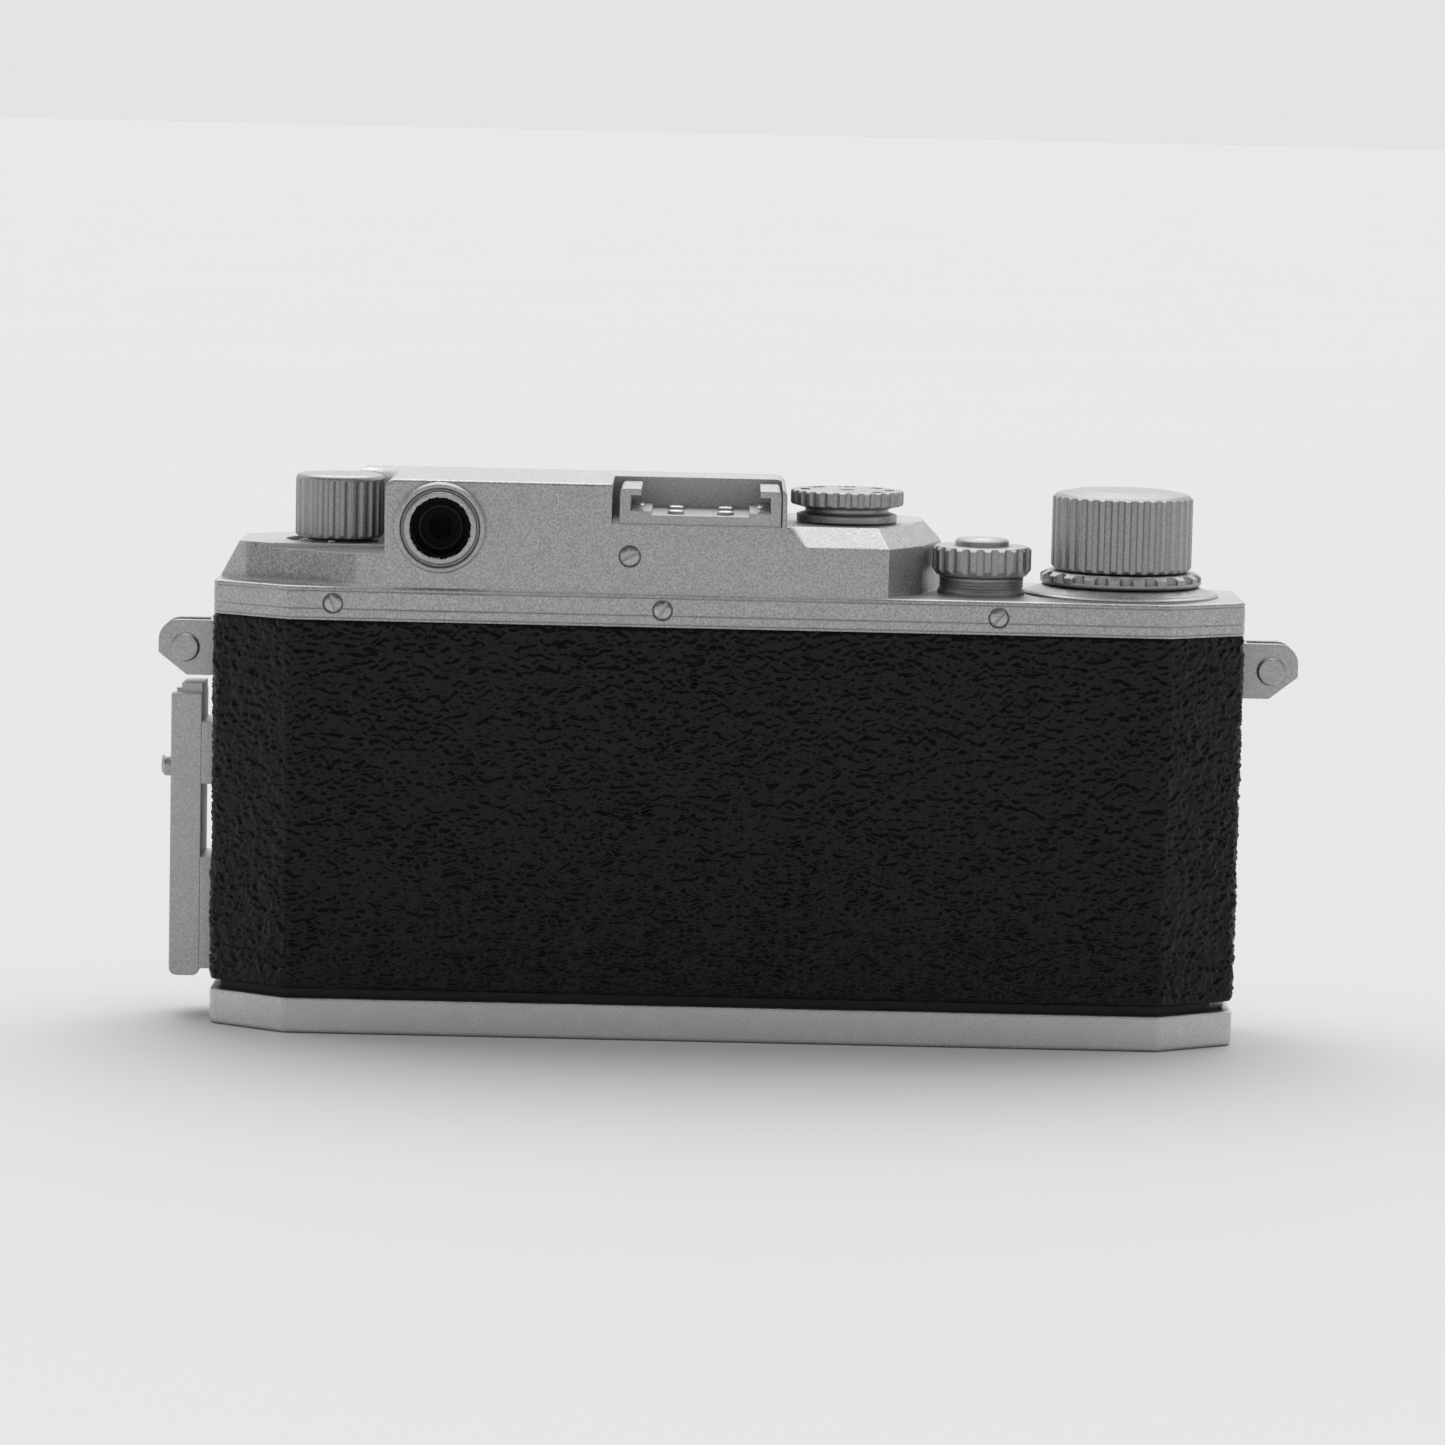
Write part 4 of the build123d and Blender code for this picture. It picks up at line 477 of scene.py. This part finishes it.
# ==== Small pieces =======================================================================
def finished_mesh(bm, name):
    """The mesh of a bmesh, which is freed."""
    mesh = bpy.data.meshes.new(name)
    bm.to_mesh(mesh)
    bm.free()
    return mesh


def middle_of(node):
    """The centre of a node's box, and half its width along X."""
    low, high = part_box(node)
    return (low + high) / 2, (high.x - low.x) / 2


def add_piece(name, mesh, material, body, smooth_angle=35):
    """Links a finished mesh, makes it ride on a body and gives it its material."""
    mesh.materials.append(material)
    piece = bpy.data.objects.new(name, mesh)
    bpy.context.scene.collection.objects.link(piece)
    mesh.shade_smooth()
    mesh.set_sharp_from_angle(angle=math.radians(smooth_angle))
    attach(piece, body)
    return piece


def turned_mesh(outline, centre, axis, segments=48, ring_shaped=False):
    """A solid turned about an axis through centre, from the (radius, height) points of its section.

    The section runs from the axis out and back, or all the way round when the piece is ring-shaped.
    """
    turn = Vector(axis).to_track_quat("Z", "Y").to_matrix()
    bm = bmesh.new()
    rings = []
    for radius, height in outline:
        count = 1 if radius == 0 else segments
        angles = [2 * math.pi * index / segments for index in range(count)]
        rings.append([bm.verts.new(Vector(centre) + turn @ Vector((radius * math.cos(angle),
                                                                   radius * math.sin(angle), height)))
                      for angle in angles])
    pairs = list(zip(rings, rings[1:]))
    if ring_shaped:
        pairs.append((rings[-1], rings[0]))
    for first, second in pairs:
        for index in range(segments):
            ahead = index + 1
            corners = [first[index % len(first)], first[ahead % len(first)], second[ahead % len(second)],
                       second[index % len(second)]]
            bm.faces.new(list(dict.fromkeys(corners)))
    bmesh.ops.recalc_face_normals(bm, faces=bm.faces)
    return finished_mesh(bm, "turned")


def window_plate(name, centre, outer, inner, depth, material, body):
    """An upright plate across the Y axis, with a window through it."""
    bm = bmesh.new()
    corners = ((-1, -1), (1, -1), (1, 1), (-1, 1))
    loops = []
    for y in (-depth / 2, depth / 2):
        for size in (outer, inner):
            loops.append([bm.verts.new(Vector(centre) + Vector((sx * size[0] / 2, y, sz * size[1] / 2)))
                          for sx, sz in corners])
    front_outer, front_inner, rear_outer, rear_inner = loops
    for first, second in ((front_outer, front_inner), (rear_outer, rear_inner), (front_outer, rear_outer),
                          (front_inner, rear_inner)):
        for index in range(4):
            ahead = (index + 1) % 4
            bm.faces.new((first[index], first[ahead], second[ahead], second[index]))
    bmesh.ops.recalc_face_normals(bm, faces=bm.faces)
    bmesh.ops.bevel(bm, geom=bm.edges[:], offset=0.08 * MM, segments=1, affect="EDGES")
    add_piece(name, finished_mesh(bm, name), material, body)


def islands(node):
    """Boxes of a CAD node's separate solids, in the order of their places."""
    bm = bmesh.new()
    bm.from_mesh(nodes[node].data)
    bmesh.ops.remove_doubles(bm, verts=bm.verts, dist=1e-6)
    left = set(bm.verts)
    boxes = []
    while left:
        stack = [left.pop()]
        found = list(stack)
        while stack:
            for edge in stack.pop().link_edges:
                for vert in edge.verts:
                    if vert in left:
                        left.discard(vert)
                        stack.append(vert)
                        found.append(vert)
        points = np.array([vert.co for vert in found])
        boxes.append((Vector(points.min(0)), Vector(points.max(0))))
    bm.free()
    return sorted(boxes, key=lambda box: tuple(box[0]))


def join_meshes(name, meshes):
    """One mesh from several."""
    bm = bmesh.new()
    for mesh in meshes:
        bm.from_mesh(mesh)
    return finished_mesh(bm, name)


def applied(source, modifier_kind, **settings):
    """The mesh of a temporary object with one modifier applied."""
    holder = bpy.data.objects.new("holder", source)
    bpy.context.scene.collection.objects.link(holder)
    modifier = holder.modifiers.new("work", modifier_kind)
    for key, value in settings.items():
        setattr(modifier, key, value)
    result = bpy.data.meshes.new_from_object(holder.evaluated_get(bpy.context.evaluated_depsgraph_get()))
    bpy.data.objects.remove(holder)
    return result


def bar_mesh(centre, size, axis, turn):
    """A box with the given size, its Z along the axis and turned about it."""
    matrix = Matrix.Translation(Vector(centre)) @ Vector(axis).to_track_quat("Z", "Y").to_matrix().to_4x4()
    matrix = matrix @ Matrix.Rotation(turn, 4, "Z") @ Matrix.Diagonal((*size, 1))
    bm = bmesh.new()
    bmesh.ops.create_cube(bm, size=1, matrix=matrix)
    return finished_mesh(bm, "bar")


def screw_heads():
    """Slotted, slightly domed heads, each in a dark ring where the cover's hole shows."""
    heads = []
    for index, (low, high) in enumerate(islands("cover_screws")):
        middle = (low + high) / 2
        radius = (high.x - low.x) / 2
        facing = 1 if middle.y > 0 else -1
        face = Vector((middle.x, high.y if facing > 0 else low.y, middle.z))
        axis = (0, facing, 0)
        head = turned_mesh([(0, 0.04 * MM), (0.5 * radius, 0.02 * MM), (radius - 0.3 * MM, -0.06 * MM),
                            (radius - 0.2 * MM, -0.16 * MM), (radius - 0.18 * MM, -0.4 * MM),
                            (radius, -0.4 * MM), (radius, -1.0 * MM), (0, -1.0 * MM)], face, axis)
        slot_turn = SLOT_TURNS[index % len(SLOT_TURNS)]
        slot = bar_mesh(face, (3 * radius, SLOT_WIDTH, SLOT_DEPTH), axis, slot_turn)
        cutter = bpy.data.objects.new("cutter", slot)
        bpy.context.scene.collection.objects.link(cutter)
        heads.append(applied(head, "BOOLEAN", object=cutter, operation="DIFFERENCE", solver="EXACT"))
        bpy.data.objects.remove(cutter)
    piece = add_piece("cover_screw_heads", join_meshes("cover_screw_heads", heads), materials["screw_steel"],
                      "camera")
    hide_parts("cover_screws")


def eyepiece_rings():
    """The eyepiece's black stepped bore and the bronze lip inside it, as (radius, height) in millimetres; the
    bore closes to a small hole over the glass, a dark disc that is painted shade for the dark view into the
    finder.
    """
    middle, _ = middle_of("eyepiece_ring")
    rear = (middle.x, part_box("eyepiece_retainer")[1].y, middle.z)
    liner = [(3.88, -0.45), (3.6, -0.5), (3.45, -1.9), (3.0, -2.15), (2.9, -2.3), (1.6, -2.4), (1.55, -2.75),
             (2.9, -2.8), (2.9, -2.6), (3.88, -2.2)]
    lip = [(2.98, -2.1), (2.82, -1.98), (2.72, -2.05), (2.72, -2.25), (2.98, -2.25)]
    for name, outline, material in (("eyepiece_liner_and_shade_disc", liner, black_liner_and_shade),
                                    ("eyepiece_lip", lip, lip_bronze)):
        section = [(radius * MM, height * MM) for radius, height in outline]
        mesh = turned_mesh(section, rear, (0, 1, 0), segments=96, ring_shaped=True)
        add_piece(name, mesh, material, "camera")


def painted_bore(name, tone, centre, radius):
    """Satin metal whose bore has black paint that ends in a ragged edge."""
    shade = Shade(name)
    fine = shade.noise(METAL_SPECKLE, 2.0)
    parts = shade.put("SeparateXYZ")
    shade.tree.links.new(shade.coords, parts.inputs[0])
    across = shade.math("SUBTRACT", parts.outputs["X"], centre.x)
    rise = shade.math("SUBTRACT", parts.outputs["Z"], centre.z)
    reach = shade.math("SQRT", shade.math("ADD", shade.math("MULTIPLY", across, across),
                                          shade.math("MULTIPLY", rise, rise)))
    ragged = shade.math("ADD", reach, shade.span(shade.noise(0.6 * MM, 3.0), 0.3, 0.7, -0.16 * MM, 0.16 * MM))
    bare = shade.span(ragged, radius - 0.03 * MM, radius + 0.03 * MM)
    metal = shade.mix(shade.span(fine, *NOISE_CORE), scaled(tone, 0.8), scaled(tone, 1.25))
    rounded = shade.edges(EDGE_RADIUS)[1]
    return shade.finish(shade.mix(bare, BLACK_PAINT_AND_SHADE_TONE, metal), shade.span(bare, 0.0, 1.0, 0.7, 0.4),
                        shade.bump(fine, 0.5, 0.08 * MM, rounded), Metallic=1.0)


def paint_bores():
    """Black paint inside the eyepiece and the lens, out to each piece's own radius."""
    for node, centre_node, tone in (("eyepiece_retainer", "eyepiece_ring", TRIM_TONE),
                                    ("lens_head", "lens_head", LENS_TONE),
                                    ("lens_barrel", "lens_head", LENS_TONE)):
        centre, _ = middle_of(centre_node)
        nodes[node].data.materials[0] = painted_bore("painted_" + node, tone, centre, PAINTED_REACH[node])


def lens_pieces():
    """Round lenses with smooth, evenly curved faces in place of the faceted ones."""
    elements = []
    for low, high in islands("lens_elements"):
        radius = (high.x - low.x) / 2
        thick = high.y - low.y
        bulge = LENS_BULGE * thick
        steps = [index / 14 for index in range(15)]
        front = [(radius * step, thick / 2 - bulge * step * step) for step in steps]
        outline = front + [(reach, -height) for reach, height in reversed(front)]
        elements.append(turned_mesh(outline, (low + high) / 2, (0, -1, 0), segments=128))
    coated = glass("coated_glass", COATED_TONE, index=1.32)
    piece = add_piece("smooth_lenses", join_meshes("smooth_lenses", elements), coated, "lens_head",
                      smooth_angle=50)
    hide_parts("lens_elements")


def finder_shade_plate():
    """A dark plate with the frame's window, near the front of the finder tube; it is painted shade that
    darkens the view into the finder.
    """
    middle, _ = middle_of("eyepiece_ring")
    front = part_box("finder_tube")[0].y + 1.2 * MM
    window_plate("finder_shade_plate", (middle.x, front, middle.z), (9.6 * MM, 6.6 * MM), (3.4 * MM, 2.2 * MM),
                 0.5 * MM, black_liner_and_shade, "camera")


screw_heads()
eyepiece_rings()
paint_bores()
lens_pieces()
finder_shade_plate()


# ==== Engraved figures ===================================================================
def figure_mesh(text, height):
    """A flat figure centred on the origin, a little thick."""
    curve = bpy.data.curves.new("figure", "FONT")
    curve.body = text
    curve.size = height / 0.7
    curve.align_x = "CENTER"
    curve.align_y = "CENTER"
    curve.extrude = FIGURE_PROUD
    curve.resolution_u = 4
    holder = bpy.data.objects.new("figure", curve)
    bpy.context.scene.collection.objects.link(holder)
    mesh = bpy.data.meshes.new_from_object(holder.evaluated_get(bpy.context.evaluated_depsgraph_get()))
    bpy.data.objects.remove(holder)
    return mesh


def stroke_mesh(width, length):
    """An upright index line."""
    bm = bmesh.new()
    bmesh.ops.create_cube(bm, size=1, matrix=Matrix.Diagonal((width, length, 2 * FIGURE_PROUD, 1)))
    return finished_mesh(bm, "stroke")


def wrap(mesh, centre, axis, start, radius, turn, on_face):
    """Lays a flat mesh on a disc's face, top outward, or round a cylinder, top along the axis."""
    axis = Vector(axis)
    for vert in mesh.vertices:
        across, up, proud = vert.co
        angle = turn if on_face else turn + across / radius
        out = Matrix.Rotation(angle, 3, axis) @ Vector(start)
        if on_face:
            vert.co = Vector(centre) + out * (radius + up) - axis.cross(out) * across + axis * proud
        else:
            vert.co = Vector(centre) + out * (radius + proud) + axis * up
    return mesh


def engrave(name, meshes, body):
    add_piece(name, join_meshes(name, meshes), ink_black, body, smooth_angle=20)


def face_figures(name, labels, height, node, centre, axis, start, inset):
    """Figures on a dial's flat face, an eighth of a turn apart."""
    radius = middle_of(node)[1] - inset
    meshes = [wrap(figure_mesh(text, height), centre, axis, start, radius, math.radians(45 * index), True)
              for index, text in enumerate(labels)]
    engrave(name, meshes, node)


def ring_figures(name, labels, height, node, setback, inset, first, step):
    """Figures round a lens ring, set back from its rear edge, with the turns in degrees."""
    middle, reach = middle_of(node)
    centre = (middle.x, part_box(node)[1].y - setback, middle.z)
    meshes = [wrap(figure_mesh(text, height), centre, (0, -1, 0), (0, 0, 1), reach - inset,
                   math.radians(first + step * index), False) for index, text in enumerate(labels)]
    engrave(name, meshes, node)


def depth_scale():
    """Index lines on the barrel behind the focus ring, the middle one longer."""
    middle, _ = middle_of("focus_ring")
    centre = (middle.x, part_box("focus_ring")[1].y + 1.8 * MM, middle.z)
    radius = middle_of("lens_barrel")[1]
    strokes = []
    for turn in (-16, -11, -7, -4, 0, 4, 7, 11, 16):
        length = (2.0 if turn == 0 else 1.3) * MM
        strokes.append(wrap(stroke_mesh(STROKE_WIDTH, length), centre, (0, -1, 0), (0, 0, 1), radius,
                            math.radians(turn), False))
    engrave("depth_marks", strokes, "camera")


speed_middle, _ = middle_of("speed_dial")
face_figures("speed_figures", ("1", "25", "30", "50", "100", "250", "500"), 1.25 * MM, "speed_dial",
             (speed_middle.x, speed_middle.y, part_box("speed_dial")[1].z), (0, 0, 1), (0, 1, 0), 2.0 * MM)
ring_figures("aperture_figures", ("2", "2.8", "4", "5.6", "8", "11", "16"), 1.0 * MM, "aperture_ring",
             1.1 * MM, 0.0, 0, 15)
ring_figures("distance_figures", ("1", "1.2", "1.5", "2", "3", "5", "10"), 1.2 * MM, "focus_ring",
             1.35 * MM, 1.0 * MM, -75, 25)
slow_middle, _ = middle_of("slow_speed_dial")
face_figures("slow_figures", ("30", "15", "8", "4", "2", "1"), 1.1 * MM, "slow_speed_dial",
             (slow_middle.x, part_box("slow_speed_dial")[0].y, slow_middle.z), (0, -1, 0), (0, 0, 1), 1.7 * MM)
depth_scale()


# ==== Floor, lights and camera ===========================================================
def build_floor():
    shade = Shade("pale_floor")
    cloud = shade.noise(0.25, 2.0)
    tint = shade.mix(cloud, scaled(FLOOR_TONE, 0.985), FLOOR_TONE)
    material = shade.finish(tint, 0.9, None, Specular_IOR_Level=0.2)
    bm = bmesh.new()
    bmesh.ops.create_circle(bm, cap_ends=True, segments=96, radius=FLOOR_REACH)
    mesh = finished_mesh(bm, "floor")
    floor = bpy.data.objects.new("floor", mesh)
    mesh.materials.append(material)
    bpy.context.scene.collection.objects.link(floor)


def soft_sun(name, toward, spread, strength):
    """A very wide, soft source that shines from the given direction."""
    data = bpy.data.lights.new(name, "SUN")
    data.angle = math.radians(spread)
    data.energy = strength
    light = bpy.data.objects.new(name, data)
    light.rotation_mode = "QUATERNION"
    light.rotation_quaternion = Vector(toward).to_track_quat("Z", "Y")
    bpy.context.scene.collection.objects.link(light)


def studio_world():
    """Pale at the horizon all round, and dimmer above it on the viewer's side than behind."""
    world = bpy.data.worlds.new("studio")
    world.use_nodes = True
    tree = world.node_tree
    coords = tree.nodes.new("ShaderNodeTexCoord")
    parts = tree.nodes.new("ShaderNodeSeparateXYZ")
    tree.links.new(coords.outputs["Generated"], parts.inputs[0])

    def span(source, *numbers):
        node = tree.nodes.new("ShaderNodeMapRange")
        node.interpolation_type = "SMOOTHSTEP"
        for name, number in zip(("From Min", "From Max", "To Min", "To Max"), numbers):
            node.inputs[name].default_value = number
        tree.links.new(source, node.inputs["Value"])
        return node

    side = span(parts.outputs["Y"], -GLOW_TURNOVER, GLOW_TURNOVER, BACK_GLOW, VIEWER_GLOW)
    height = span(parts.outputs["Z"], *HORIZON_BAND, HORIZON_GLOW, 0.0)
    tree.links.new(side.outputs["Result"], height.inputs["To Max"])
    background = tree.nodes["Background"]
    background.inputs["Color"].default_value = (*SKY_TONE, 1.0)
    tree.links.new(height.outputs["Result"], background.inputs["Strength"])
    bpy.context.scene.world = world


def build_camera():
    """Looks along -Y at the camera's back, a little downward; yaw, pitch and roll are in radians."""
    flat = math.cos(CAMERA_PITCH)
    forward = Vector((-math.sin(CAMERA_YAW) * flat, -math.cos(CAMERA_YAW) * flat, -math.sin(CAMERA_PITCH)))
    level = forward.cross(Vector((0, 0, 1))).normalized()
    above = level.cross(forward)
    across = level * math.cos(CAMERA_ROLL) + above * math.sin(CAMERA_ROLL)
    upward = across.cross(forward)
    data = bpy.data.cameras.new("camera")
    data.lens = CAMERA_LENS
    data.sensor_width = 36.0
    data.clip_start = 0.02
    data.clip_end = 100.0
    camera = bpy.data.objects.new("view_camera", data)
    bpy.context.scene.collection.objects.link(camera)
    turn = Matrix((across, upward, -forward)).transposed().to_4x4()
    camera.matrix_world = Matrix.Translation(CAMERA_PLACE) @ turn
    bpy.context.scene.camera = camera


build_floor()
soft_sun("soft_box", SUN_TOWARD, SUN_SPREAD, SUN_STRENGTH)
studio_world()
build_camera()
bpy.context.scene.view_settings.view_transform = "Standard"
